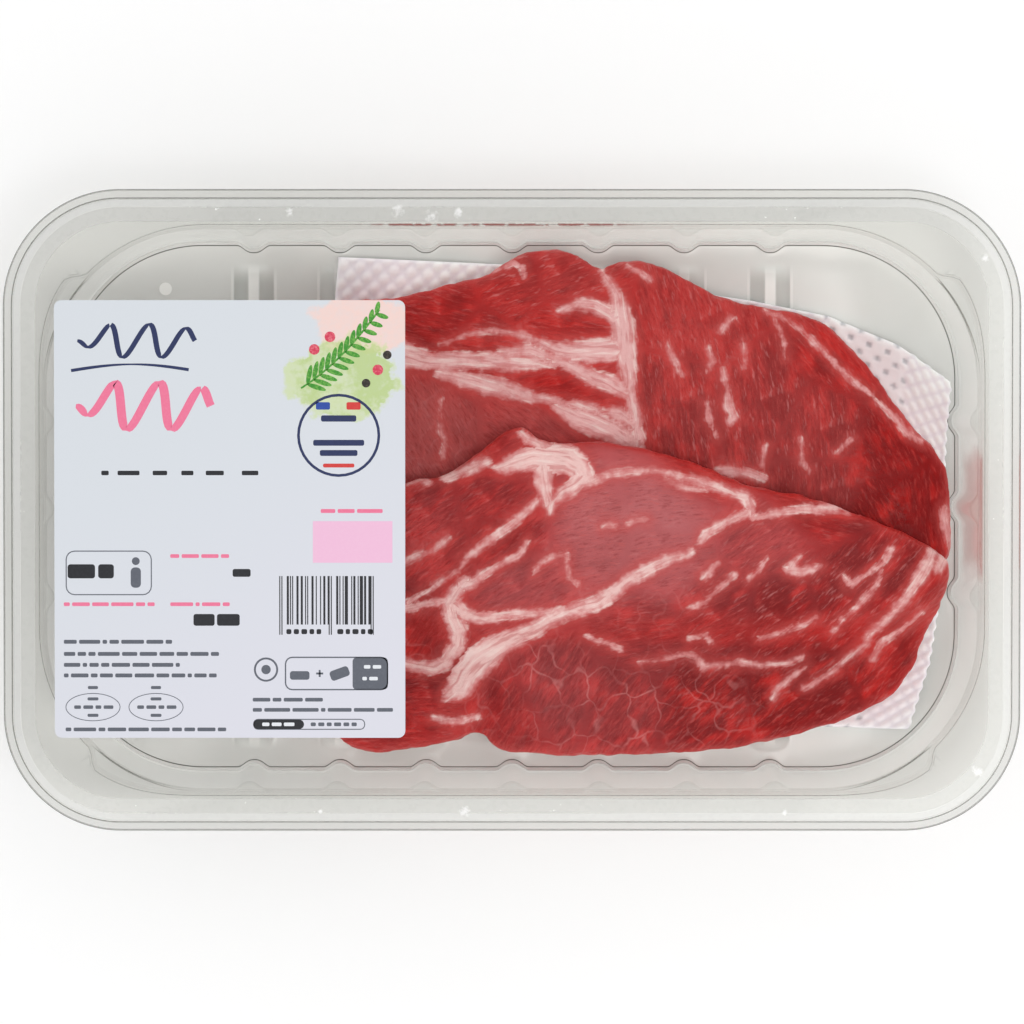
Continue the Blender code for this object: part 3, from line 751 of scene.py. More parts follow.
def rim_sheet():
    """The tray's rim and flange, with painted dark lines of shade at its turns and a trace of juice
    along the back and on the right.
    """
    paint = Paint("clear tray rim")
    place = paint.place()
    x, y, z = paint.axes(place)
    # Painted shade: a dark line along the rim's turns
    line = crease_shade_line(paint)
    drops = paint.noise(place, 0.4, 2.0)
    rim_juice = band(paint, y, 72.3, 73.3, 0.2) * paint.step((x + 3.0).size(), 40.0, 24.0)
    rim_juice = rim_juice * paint.step(z, 38.0, 38.6) * paint.step(drops, 0.38, 0.5)
    end_juice = wall_juice(paint, place)
    body = paint.blend(line, srgb(228, 229, 225), EDGE_SHADE)
    body = paint.blend(end_juice, body, JUICE)
    body = paint.blend(rim_juice, body, srgb(140, 70, 64))
    solid = seen_edge_on(paint) + line * EDGE_SHADE_SOLID + end_juice * JUICE_SOLID + rim_juice * 0.55
    return finish_sheet(paint, CLEAR, body, SHEET_ROUGHNESS, solid.lowest(1.0))


def floor_sheet():
    """The tray's floor: painted dark lines of shade at its edge, ribs with painted shade on their
    slopes and painted highlights on their crests and feet, whiter pools of painted reflection, and
    a moulded dot.
    """
    paint = Paint("clear tray floor")
    place = paint.place()
    x, y, _ = paint.axes(place)
    haze = paint.noise(place, 0.028, 1.0)
    # Painted shade: a dark line along the floor's edge
    line = crease_shade_line(paint)
    off_rib = x.maths("PINGPONG", x, 0.5 * COLUMN_PITCH / MM)
    last_rib = (3 * COLUMN_PITCH + RIB_HALF_WIDTH) / MM
    ribbed = paint.step(x.size(), last_rib + 1.1, last_rib + 0.3)
    ribbed = ribbed * paint.step(y.size(), RIB_HALF_LENGTH / MM, RIB_HALF_LENGTH / MM - 6.0)
    # Painted shade on the ribs' slopes, painted highlights on their crests and along their feet
    rib_slope_shade = band(paint, off_rib, 1.5, 5.2, 0.3) * ribbed
    rib_crest_highlight = paint.step(off_rib, 1.5, 1.1) * ribbed
    foot = band(paint, off_rib, 5.3, 6.0, 0.15) * ribbed
    dot = spot(paint, place, FLOOR_DOT, FLOOR_DOT_RADIUS, 0.15)
    # Painted reflection: whiter pools of solid plastic in the floor
    pool = paint.step(haze, 0.36, 0.66) * (1.0 - rib_slope_shade)
    body = paint.blend(rib_slope_shade * 0.8, srgb(254, 254, 252), srgb(222, 223, 220))
    body = paint.blend(line, body, EDGE_SHADE)
    solid = 0.46 + pool * 0.24 + rib_crest_highlight * 0.2 + foot * 0.14 + line * 0.45 + dot * 0.6
    return finish_sheet(paint, CLEAR, body, SHEET_ROUGHNESS, solid.lowest(1.0))


# Film

# White smears in the seal as (x, y, radius) in pixels of the photograph
SEAL_SMEARS = ((290, 212, 9), (398, 212, 14), (432, 216, 14), (458, 212, 10), (320, 812, 5),
               (464, 812, 12), (785, 813, 6), (984, 258, 9), (978, 772, 12))

# The film's outline in millimetres as (half length, half width, corner), and the insets of the
# rings of its welded part from the flange's outer edge
FILM_OUTLINE = (127.7, 79.7, 27.7)
SEAL_INSETS = (2.3, 2.7, 4.6, 8.4)


def clear_film():
    """Lidding film over the food: clear, and glossy where it is seen edge on."""
    paint = Paint("lidding film")
    haze = paint.noise(paint.place(), 0.02, 1.0)
    tone = paint.blend(haze, srgb(226, 230, 232), srgb(242, 244, 245))
    return finish_sheet(paint, CLEAR, tone, 0.08 + haze * 0.08, seen_edge_on(paint))


def sealed_band():
    """Where the film is welded to the flange: a dull grey band between clearer white ones, and a
    painted dark line of shade at the film's cut edge.
    """
    paint = Paint("sealed film")
    place = paint.place()
    edge = rounded_distance(paint, place, *FILM_OUTLINE)
    rough = paint.noise(place, 0.55, 3.0, 0.65)
    wander = paint.noise(place, 0.03, 0.0)
    seal = band(paint, edge + (rough - 0.5) * 0.35 + (wander - 0.5) * 0.8, -6.1, -2.3, 0.12)
    white = band(paint, edge, -2.3, -0.4, 0.2)
    # Painted shade: a dark line along the film's cut edge
    cut_edge_shade = band(paint, edge, -0.25, 0.3, 0.1)
    smear = None
    for x, y, radius in SEAL_SMEARS:
        centre = photo_place(x, y, FLANGE_TOP) / MM
        half = 0.5 * radius * PIXEL / MM
        patch = spot(paint, place, centre, half, half)
        smear = patch if smear is None else smear.highest(patch)
    smear = paint.step(smear * 0.5 + rough, 0.70, 1.1) * band(paint, edge, -6.6, -1.2, 0.5)
    flecks = paint.step(rough, 0.69, 0.73) * seal * paint.step(wander, 0.5, 0.6)
    smear = smear.highest(flecks)
    body = paint.blend(seal, srgb(252, 252, 252), srgb(232, 232, 229))
    body = paint.blend(smear, body, srgb(252, 252, 252))
    body = paint.blend(cut_edge_shade, body, EDGE_SHADE)
    solid = (0.08 + seal * 0.24 + white * 0.26) * (1.0 - cut_edge_shade) + smear * 0.4 + cut_edge_shade * 0.55
    return finish_sheet(paint, CLEAR, body, 0.22 + rough * 0.12, solid.lowest(1.0))


def make_seal(material):
    """The flat ring of film over the flange, from its cut edge in to the tray's rim."""
    bm = bmesh.new()
    rings = []
    for inset in SEAL_INSETS:
        half_x = 0.5 * TRAY_LENGTH - inset * MM
        half_y = 0.5 * TRAY_WIDTH - inset * MM
        ring = tray_ring(half_x, half_y, FLANGE_CORNER - inset * MM)
        rings.append([Vector((place.x, place.y, SEAL_FACE)) for place, _ in ring])
    verts = [bm.verts.new(place) for place in rings[0]]
    edges = [bm.edges.new((verts[i - 1], verts[i])) for i in range(len(verts))]
    for ring in rings[1:]:
        drawn = set(bmesh.ops.extrude_edge_only(bm, edges=edges)["geom"])
        inner = []
        for vert, place in zip(verts, ring):
            new = next(e.other_vert(vert) for e in vert.link_edges if e.other_vert(vert) in drawn)
            new.co = place
            inner.append(new)
        verts = inner
        edges = [bm.edges.get((verts[i - 1], verts[i])) for i in range(len(verts))]
    for face in bm.faces:
        face.normal_update()
        if face.normal.z < 0.0:
            face.normal_flip()
    return new_piece("film_seal", bm, material, smooth=False)


# Label

# The label's upper left corner, its face and how far the print lies above it, in millimetres
LABEL_LEFT = -116.8
LABEL_TOP = 53.7
LABEL_FACE = 41.0
PRINT_LIFT = 0.006
PALE_LIFT = 0.008

# The pattern of bars: its groups, which of them are guard bars, and how far these reach down
CODE_GROUPS = 14
CODE_GUARDS = (0, 7, 13)
CODE_GUARD_DROP = 2.6

# Plain printed bars as (middle u, middle v, width, height, share of rounding, turn)
NAVY_BARS = ((72.6, 30.2, 9.0, 1.6, 0.3), (72.6, 36.4, 13.0, 1.5, 0.3), (72.6, 39.0, 9.6, 1.5, 0.3))
RED_BARS = ((72.6, 42.2, 8.0, 1.0, 0.4), (76.4, 27.0, 3.6, 1.9, 0.2))
BLUE_BARS = ((68.6, 27.0, 3.6, 1.9, 0.2),)
BLACK_BARS = (
    (13.0, 44.1, 1.9, 1.15, 0.25), (19.0, 44.1, 5.6, 1.15, 0.25), (27.0, 44.1, 3.7, 1.15, 0.25),
    (34.0, 44.1, 3.1, 1.15, 0.25), (41.0, 44.1, 4.6, 1.15, 0.25), (50.0, 44.1, 4.2, 1.15, 0.25),
    (6.9, 69.2, 7.0, 3.6, 0.2), (13.2, 69.2, 4.0, 3.6, 0.2), (47.8, 69.6, 4.6, 2.0, 0.25),
    (38.2, 81.6, 5.4, 3.0, 0.2), (44.4, 81.6, 5.8, 3.0, 0.2), (57.2, 108.3, 13.0, 2.4, 0.5),
)
GREY_BARS = (
    (20.8, 70.8, 2.6, 5.2, 0.4), (80.6, 95.3, 9.0, 8.2, 0.12), (62.6, 95.8, 5.0, 2.2, 0.3),
    (67.7, 95.3, 1.8, 0.5, 0.0), (67.7, 95.3, 0.5, 1.8, 0.0), (72.8, 95.3, 5.0, 2.6, 0.3, 20.0),
    (9.8, 98.9, 2.6, 0.8, 0.4), (9.8, 101.8, 2.8, 0.8, 0.4), (9.8, 106.0, 2.8, 0.8, 0.4),
    (25.9, 98.9, 2.6, 0.8, 0.4), (25.9, 101.8, 2.8, 0.8, 0.4), (25.9, 106.0, 2.8, 0.8, 0.4),
)
# Boxes drawn as outlines: the same values, then the line's thickness
GREY_BOXES = (
    ((13.9, 69.6, 22.0, 11.4, 0.2), 0.28), ((72.0, 95.3, 26.4, 8.6, 0.22), 0.35),
    ((65.0, 108.3, 28.6, 2.8, 0.45), 0.25),
)
# Lines of small print as (left, right, v, height, seed, longest word)
ROSE_LINES = (
    (68.0, 85.4, 53.8, 1.0, 11, 7.0), (29.6, 44.6, 65.3, 0.95, 13, 6.0),
    (2.4, 25.6, 77.6, 0.95, 14, 6.0), (29.6, 46.0, 77.6, 0.95, 15, 6.0),
)
BLACK_LINES = ((59.2, 69.8, 84.6, 1.3, 61, 1.6), (72.2, 82.6, 84.6, 1.3, 62, 1.6))
GREY_LINES = (
    (2.4, 31.5, 87.2, 1.0, 40, 6.0), (2.4, 42.0, 90.3, 1.0, 41, 6.0),
    (2.4, 32.0, 93.1, 1.0, 42, 6.0), (2.4, 41.4, 95.8, 1.0, 43, 6.0),
    (5.0, 15.0, 103.9, 0.9, 51, 4.0),
    (21.1, 31.1, 103.9, 0.9, 51, 4.0), (2.8, 43.8, 109.6, 0.95, 55, 6.0),
    (50.6, 68.5, 102.0, 0.95, 58, 7.0), (50.6, 86.4, 104.6, 0.95, 59, 7.0),
    (65.4, 77.6, 108.3, 0.95, 60, 2.0),
)
PALE_LINES = (
    (79.0, 83.4, 93.6, 0.9, 71, 3.0), (78.6, 83.0, 96.6, 0.9, 72, 3.0),
    (53.0, 62.0, 108.3, 0.9, 73, 4.0),
)
BERRIES = ((66.4, 12.6), (70.4, 9.4), (82.6, 17.8))
SEEDS = ((79.6, 21.2), (85.0, 14.0))


def label_paper():
    """Smooth bluish paper with two soft washes of colour near its upper right corner."""
    paint = Paint("label paper")
    place = paint.place()
    x, y, _ = paint.axes(place)
    u = x - LABEL_LEFT
    v = LABEL_TOP - y
    warp = paint.noise(place, 0.13, 4.0, 0.6)
    fine = paint.noise(place, 0.6, 3.0, 0.6)

    def wash(centre, radii, soft):
        dx = (u - centre[0]) / radii[0]
        dy = (v - centre[1]) / radii[1]
        reach = (dx * dx + dy * dy).power(0.5) + (warp - 0.5) * 1.3
        return paint.step(reach, 1.0 + soft, 1.0 - soft)

    lower_right = paint.step(v + u * 0.5, 40.0, 150.0)
    paper = paint.blend(lower_right, srgb(212, 217, 223), srgb(216, 216, 226))
    rose = wash((79.5, 6.5), (13.5, 8.0), 0.10)
    leaf = wash((74.5, 20.0), (14.5, 10.5), 0.07)
    colour = paint.blend(rose * (0.45 + fine * 0.5), paper, srgb(246, 206, 194))
    colour = paint.blend(leaf * (0.5 + fine * 0.5), colour, srgb(202, 216, 156))
    pool = paint.step(leaf * (warp + fine * 0.3), 0.56, 0.74)
    colour = paint.blend(pool * 0.55, colour, srgb(170, 196, 108))
    grain = paint.noise(place, 3.0, 2.0)
    colour = paint.blend(grain * 0.06, colour, srgb(180, 184, 192))
    press = paint.bump(grain, 0.06, 0.0001)
    return paint.finish(paint.surface({
        "Base Color": colour, "Roughness": 0.42 + grain * 0.1, "Specular IOR Level": 0.3,
        "Normal": press,
    }))


def ink(name, colour, light, wear):
    """Printed ink, a little uneven in tone."""
    paint = Paint(name)
    speckle = paint.noise(paint.place(), 1.6, 3.0, 0.6)
    tone = paint.blend(paint.step(speckle, 0.4, 0.75) * wear, srgb(*colour), srgb(*light))
    return paint.finish(paint.surface({
        "Base Color": tone, "Roughness": 0.40 + speckle * 0.12, "Specular IOR Level": 0.3,
    }))


class Print:
    """Flat shapes of one ink on the label, placed in millimetres from its upper left corner."""

    def __init__(self):
        self.bm = bmesh.new()

    def frame_at(self, u, v, turn, width, length, lift):
        """The matrix that puts a unit shape on the label."""
        height = LABEL_FACE + PRINT_LIFT + lift
        place = Vector((LABEL_LEFT + u, LABEL_TOP - v, height)) * MM
        size = Matrix.Diagonal((width * MM, length * MM, 1.0, 1.0))
        return Matrix.Translation(place) @ Matrix.Rotation(math.radians(turn), 4, "Z") @ size

    def bar(self, u, v, width, height, round_share=0.3, turn=0.0):
        """A bar by its middle, with its corners rounded off."""
        verts = bmesh.ops.create_grid(
            self.bm, x_segments=1, y_segments=1, size=0.5,
            matrix=self.frame_at(u, v, turn, width, height, 0.0),
        )["verts"]
        if round_share > 0.0:
            verts = bmesh.ops.bevel(
                self.bm, geom=verts, offset=round_share * min(width, height) * MM,
                offset_type="OFFSET", segments=4, profile=0.5, affect="VERTICES", material=-1,
            )["verts"]
        return verts[0].link_faces[0]

    def box(self, left, top, right, bottom):
        """A square-cornered bar by its sides."""
        self.bar(0.5 * (left + right), 0.5 * (top + bottom), right - left, bottom - top, 0.0)

    def disc(self, u, v, radius, stretch=1.0, turn=0.0, lift=0.0):
        verts = bmesh.ops.create_circle(
            self.bm, cap_ends=True, segments=36, radius=1.0,
            matrix=self.frame_at(u, v, turn, radius * stretch, radius, lift),
        )["verts"]
        return verts[0].link_faces[0]

    def hollow(self, face, thick):
        """Turns a face into its outline."""
        bmesh.ops.inset_region(self.bm, faces=[face], use_boundary=True, thickness=thick * MM)
        bmesh.ops.delete(self.bm, geom=[face], context="FACES")

    def ring(self, u, v, radius, thick, stretch=1.0):
        self.hollow(self.disc(u, v, radius, stretch), thick)

    def words(self, left, right, v, height, seed, long):
        """A line of small print as bars of word length."""
        dice = random.Random(seed)
        at = left
        while at < right - height:
            width = min(dice.uniform(1.0, long), right - at)
            self.bar(at + 0.5 * width, v, width, height, 0.3)
            at += width + 0.6

    def ribbon(self, points, thin, thick):
        """A brush stroke along a smooth curve, thickest where it falls."""
        ways = [Vector((b[0] - a[0], b[1] - a[1])) for a, b in zip(points, points[1:])]
        ways.append(ways[-1])
        pairs = []
        for (u, v), way in zip(points, ways):
            fall = abs(way.y) / max(way.length, 1e-6)
            half = 0.5 * (thin + (thick - thin) * fall)
            side = Vector((-way.y, way.x)).normalized() * half
            matrix = self.frame_at(u, v, 0.0, 1.0, 1.0, 0.0)
            pairs.append([
                self.bm.verts.new(matrix @ Vector((side.x, -side.y, 0.0))),
                self.bm.verts.new(matrix @ Vector((-side.x, side.y, 0.0))),
            ])
        edges = [self.bm.edges.new(pair) for pair in pairs]
        for near, far in zip(edges, edges[1:]):
            bmesh.ops.contextual_create(self.bm, geom=[near, far])

    def finish(self, name, material):
        for face in self.bm.faces:
            face.normal_update()
            if face.normal.z < 0.0:
                face.normal_flip()
        piece = new_piece(name, self.bm, material, smooth=False)
        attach(piece, "root")


def wave(left, right, middle, height, turns, slant):
    """Points of a leaning wave, as a hand would draw it."""
    steps = 26 * turns
    points = []
    for step in range(steps + 1):
        t = step / steps
        swing = math.sin(2.0 * math.pi * turns * t)
        fade = min(1.0, 4.0 * t, 4.0 * (1.0 - t) + 0.4)
        lean = -slant * height * 0.5 * swing * fade
        points.append((left + (right - left) * t + lean, middle + 0.5 * height * swing * fade))
    return points


def barcode(ink_layer, left, top, bottom, module):
    """Bars of random widths between longer guard bars, in groups of seven modules."""
    dice = random.Random(19)
    at = left
    for group in range(CODE_GROUPS):
        if group in CODE_GUARDS:
            for bar in range(2):
                ink_layer.box(at, top, at + module, bottom)
                at += 2.0 * module
            continue
        widths = [1, 1, 1, 1]
        for extra in range(3):
            widths[dice.randrange(4)] += 1
        for number, width in enumerate(widths):
            if number % 2:
                ink_layer.box(at, top, at + width * module, bottom - CODE_GUARD_DROP)
            at += width * module


def plain_print(bars=(), lines=()):
    """A layer of one ink with its plain bars and its lines of small print."""
    layer = Print()
    for bar in bars:
        layer.bar(*bar)
    for line in lines:
        layer.words(*line)
    return layer


def dots(places, radius):
    """A layer of discs, just above what lies under them."""
    layer = Print()
    for u, v in places:
        layer.disc(u, v, radius, 1.0, 0.0, 0.01)
    return layer


def sprig():
    """A plain sprig of long leaves in pairs along a bent stem."""
    leaves = Print()
    stem = [(63.0 + 0.8 * t, 22.5 - 0.5 * t - 0.012 * t * t) for t in range(26)]
    leaves.ribbon(stem, 0.3, 0.6)
    half_width = 0.62
    for number, (u, v) in enumerate(stem[2::2]):
        long = 2.5 - 0.08 * number
        for side, turn in ((1, 78.0), (-1, -18.0)):
            way = math.radians(turn)
            leaves.disc(
                u + long * math.cos(way), v - long * math.sin(way), half_width,
                long / half_width, turn, 0.002 * side + 0.002,
            )
    return leaves


def print_label():
    """The label's whole print, a generic layout in eleven inks."""
    navy = plain_print(NAVY_BARS)
    navy.ribbon(wave(6.0, 36.0, 10.4, 8.4, 3, 0.22), 0.6, 1.4)
    navy.ribbon([(4.4 + t, 18.0 - 1.6 * math.sin(0.1 * t)) for t in range(31)], 0.4, 3.0)
    navy.ring(72.6, 34.5, 10.6, 0.7)
    rose = plain_print(lines=ROSE_LINES)
    rose.ribbon(wave(5.6, 40.0, 27.0, 12.0, 3, 0.22), 0.7, 2.3)
    pink = Print()
    pink.box(66.0, 56.4, 86.3, 67.0)
    black = plain_print(BLACK_BARS, BLACK_LINES)
    barcode(black, 57.4, 70.4, 85.4, 0.274)
    grey = plain_print(GREY_BARS, GREY_LINES)
    for box, thick in GREY_BOXES:
        grey.hollow(grey.bar(*box), thick)
    for u, v, radius, thick, stretch in (
        (9.8, 103.9, 3.6, 0.2, 1.95), (25.9, 103.9, 3.6, 0.2, 1.95), (54.0, 94.3, 3.1, 0.5, 1.0),
    ):
        grey.ring(u, v, radius, thick, stretch)
    grey.disc(20.8, 66.6, 1.0)
    grey.disc(54.0, 94.3, 1.2)
    pale = plain_print(lines=PALE_LINES)
    bmesh.ops.translate(pale.bm, verts=pale.bm.verts, vec=(0, 0, PALE_LIFT * MM))
    for name, layer, ink_name, colour, light, wear in (
        ("navy", navy, "navy ink", (38, 48, 88), (58, 70, 116), 0.25),
        ("rose", rose, "rose ink", (232, 116, 150), (240, 148, 174), 0.25),
        ("pink", pink, "pale pink ink", (235, 186, 214), (238, 198, 220), 0.25),
        ("red", plain_print(RED_BARS), "red ink", (206, 58, 56), (222, 92, 84), 0.25),
        ("blue", plain_print(BLUE_BARS), "blue ink", (40, 72, 158), (66, 98, 178), 0.25),
        ("black", black, "black ink", (34, 35, 40), (58, 60, 66), 0.25),
        ("grey", grey, "grey ink", (92, 96, 106), (116, 120, 130), 0.25),
        ("pale", pale, "pale ink", (226, 229, 234), (214, 218, 224), 0.25),
        ("leaves", sprig(), "leaf ink", (58, 140, 44), (126, 186, 84), 0.9),
        ("berries", dots(BERRIES, 1.35), "berry ink", (206, 56, 84), (238, 140, 150), 0.8),
        ("seeds", dots(SEEDS, 1.1), "seed ink", (44, 38, 36), (96, 84, 76), 0.8),
    ):
        layer.finish("print_" + name, ink(ink_name, colour, light, wear))


# Pad

def along_run(run, share):
    """The place at a share of the length of an open run given in millimetres."""
    pieces = [(Vector(b) - Vector(a)).length for a, b in zip(run, run[1:])]
    left = share * sum(pieces)
    for a, b, length in zip(run, run[1:], pieces):
        if left <= length:
            return Vector(a).lerp(Vector(b), left / length) * MM
        left -= length
    return Vector(run[-1]) * MM


def pad_place(across, along):
    """A place on the pad, by its shares of the way from left to right and from front to back."""
    front = along_run(PAD_FRONT, across)
    back = along_run(PAD_BACK, across)
    left = along_run(PAD_LEFT, along)
    right = along_run(PAD_RIGHT, along)
    low = Vector(PAD_FRONT[0]).lerp(Vector(PAD_FRONT[-1]), across)
    high = Vector(PAD_BACK[0]).lerp(Vector(PAD_BACK[-1]), across)
    return front.lerp(back, along) + left.lerp(right, across) - low.lerp(high, along) * MM


def pad_relief(u, v):
    """Height of the quilting, two slanting sets of ridges, at a place on the flat pad."""
    product = 1.0
    for turn in PAD_ROW_TURNS:
        across = u * math.cos(turn) + v * math.sin(turn)
        product *= math.cos(math.pi * across / PAD_ROW_PITCH)
    return PAD_DIMPLE_DEPTH * (abs(product) - 1.0)


def pad_smooth(u):
    """1 in the flatter strip that carries the punched dots."""
    soft = 3 * MM
    return smoothstep((u - PAD_HOLES_FROM) / soft) * smoothstep((PAD_HOLES_TO - u) / soft)


def pad_hole(u, v):
    """How deep in one of the punched dots near the pad's right end a place lies, 0 to 1."""
    if not PAD_HOLES_FROM < u < PAD_HOLES_TO:
        return 0.0
    row = round(v / (0.5 * PAD_HOLE_PITCH[1]))
    shift = 0.5 * PAD_HOLE_PITCH[0] * (row % 2)
    du = u - shift - round((u - shift) / PAD_HOLE_PITCH[0]) * PAD_HOLE_PITCH[0]
    dv = v - row * 0.5 * PAD_HOLE_PITCH[1]
    return 1.0 - smoothstep((math.hypot(du, dv) - 0.5 * PAD_HOLE_RADIUS) / (0.7 * PAD_HOLE_RADIUS))


def make_pad(material):
    """The quilted pad, with its dots and the painted shade of its dimples carried as attributes."""
    bm = bmesh.new()
    length, width = PAD_SIZE
    bmesh.ops.create_grid(
        bm, x_segments=round(length / PAD_STEP), y_segments=round(width / PAD_STEP), size=0.5
    )
    hole_layer = bm.verts.layers.float.new("punched")
    dimple_shade_layer = bm.verts.layers.float.new("dimple_shade")
    for vert in bm.verts:
        across = vert.co.x + 0.5
        along = vert.co.y + 0.5
        u = across * length
        v = along * width
        rim = min(u, length - u, v, width - v)
        notch = 0.5 + 0.5 * math.cos(2.0 * math.pi * v / PAD_SCALLOP_PITCH)
        at_end = smoothstep((across - PAD_SCALLOPS_FROM) / (1.0 - PAD_SCALLOPS_FROM))
        place = pad_place(across - at_end * notch * PAD_SCALLOP_DEPTH / length, along)
        past = (place - PAD_CURL_PLACE).dot(PAD_CURL_WAY)
        hole = pad_hole(u, v)
        relief = pad_relief(u, v) * (1.0 - PAD_SMOOTH_SHARE * pad_smooth(u))
        height = PAD_BOTTOM + PAD_THICKNESS + PAD_CURL_RISE * smoothstep(past / PAD_CURL_RUN)
        height += relief * smoothstep(rim / PAD_FLAT_EDGE) - PAD_HOLE_DEPTH * hole
        height -= PAD_EDGE_DROP * (1.0 - smoothstep(rim / PAD_EDGE_RUN))
        vert.co = (place.x, place.y, height)
        vert[hole_layer] = hole
        # How low the quilting lies here, which the shader turns into painted shade
        vert[dimple_shade_layer] = -relief / PAD_DIMPLE_DEPTH
    piece = new_piece("quilted_pad", bm, material)
    depth = piece.modifiers.new("depth", "SOLIDIFY")
    depth.thickness = 0.5 * PAD_THICKNESS
    depth.offset = -1.0
    return piece


def pad_fibre():
    """White quilted absorbent, faintly stained pink, with painted shade in its dimples."""
    paint = Paint("absorbent pad")
    place = paint.place()
    hole = paint.attribute("punched")
    dimple_shade = paint.step(paint.attribute("dimple_shade"), 0.35, 1.0)
    stain = paint.step(paint.noise(place, 0.035, 2.0), 0.35, 0.7)
    fibre = paint.noise(place, 2.2, 3.0, 0.7)
    colour = paint.blend(stain, srgb(253, 253, 254), srgb(251, 243, 249))
    # Painted shade: the dimples' hollows are drawn greyer
    colour = paint.blend(dimple_shade * 0.45 + fibre * 0.06, colour, srgb(230, 222, 234))
    colour = paint.blend(hole * 0.65, colour, srgb(160, 162, 170))
    fuzz = paint.bump(fibre, 0.3, 0.0002)
    return paint.finish(paint.surface({
        "Base Color": colour, "Roughness": 0.7 + fibre * 0.2, "Specular IOR Level": 0.2,
        "Normal": fuzz,
    }))


# Chops

def seam_lookup(seams, height):
    """Closely spaced seam points as (place, way, half width, length so far, number of the run)."""
    points = []
    for number, run in enumerate(seams):
        placed = [(photo_place(x, y, height), half * PIXEL) for x, y, half in run]
        so_far = 0.0
        for (a, wide_a), (b, wide_b) in zip(placed, placed[1:]):
            length = (b - a).length
            count = max(1, round(length / SEAM_STEP))
            for k in range(count + 1):
                t = k / count
                wide = wide_a + (wide_b - wide_a) * t
                points.append((a.lerp(b, t), (b - a) / length, wide, so_far + t * length, number))
            so_far += length
    tree = KDTree(len(points))
    for index, point in enumerate(points):
        tree.insert((point[0].x, point[0].y, 0.0), index)
    tree.balance()
    return tree, points


def nearest_seam(lookup, x, y):
    """Distance to the nearest edge of fat, negative within it, and the place along its strands."""
    tree, points = lookup
    near = tree.find_n((x, y, 0.0), 10)
    distance, index = min((reach - points[index][2], index) for _, index, reach in near)
    place, way, _, so_far, number = points[index]
    dx = x - place.x
    dy = y - place.y
    strand = (
        (so_far + dx * way.x + dy * way.y) / MM,
        (dy * way.x - dx * way.y) / MM,
        5.0 * number,
    )
    return distance, strand


def muscle_blend(muscles, x, y):
    """The nearest muscle's number, how far within it a place lies, 0 to 1, and the shares of
    pale, deep, net and streak there."""
    squares = [(x - centre.x) ** 2 + (y - centre.y) ** 2 for centre, _, _ in muscles]
    least, second = sorted(squares)[:2]
    within = smoothstep((math.sqrt(second) - math.sqrt(least)) / MUSCLE_SOFTNESS)
    total = 0.0
    shares = [0.0, 0.0, 0.0, 0.0]
    for square, (_, _, values) in zip(squares, muscles):
        weight = 1.0 / (square + MUSCLE_SOFTNESS ** 2) ** 2
        total += weight
        for k in range(4):
            shares[k] += weight * values[k]
    return squares.index(least), within, [share / total for share in shares]


def waver(place, size):
    """An uneven value around 0 that changes over about the given size."""
    return noise.fractal(place / size, 1.0, 2.0, 3)


def fine_copy(node):
    """A closely meshed smooth copy of one chop's solid."""
    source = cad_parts[node]
    bm = bmesh.new()
    bm.from_mesh(source.data)
    bmesh.ops.remove_doubles(bm, verts=bm.verts, dist=0.00001)
    mesh = bpy.data.meshes.new(node + "_fine")
    bm.to_mesh(mesh)
    bm.free()
    piece = bpy.data.objects.new(node + "_fine", mesh)
    bpy.context.scene.collection.objects.link(piece)
    round_off = piece.modifiers.new("round", "SUBSURF")
    round_off.levels = 2
    round_off.render_levels = 2
    even = piece.modifiers.new("even", "REMESH")
    even.mode = "VOXEL"
    even.voxel_size = CHOP_VOXEL
    return set_modifiers_in(piece)


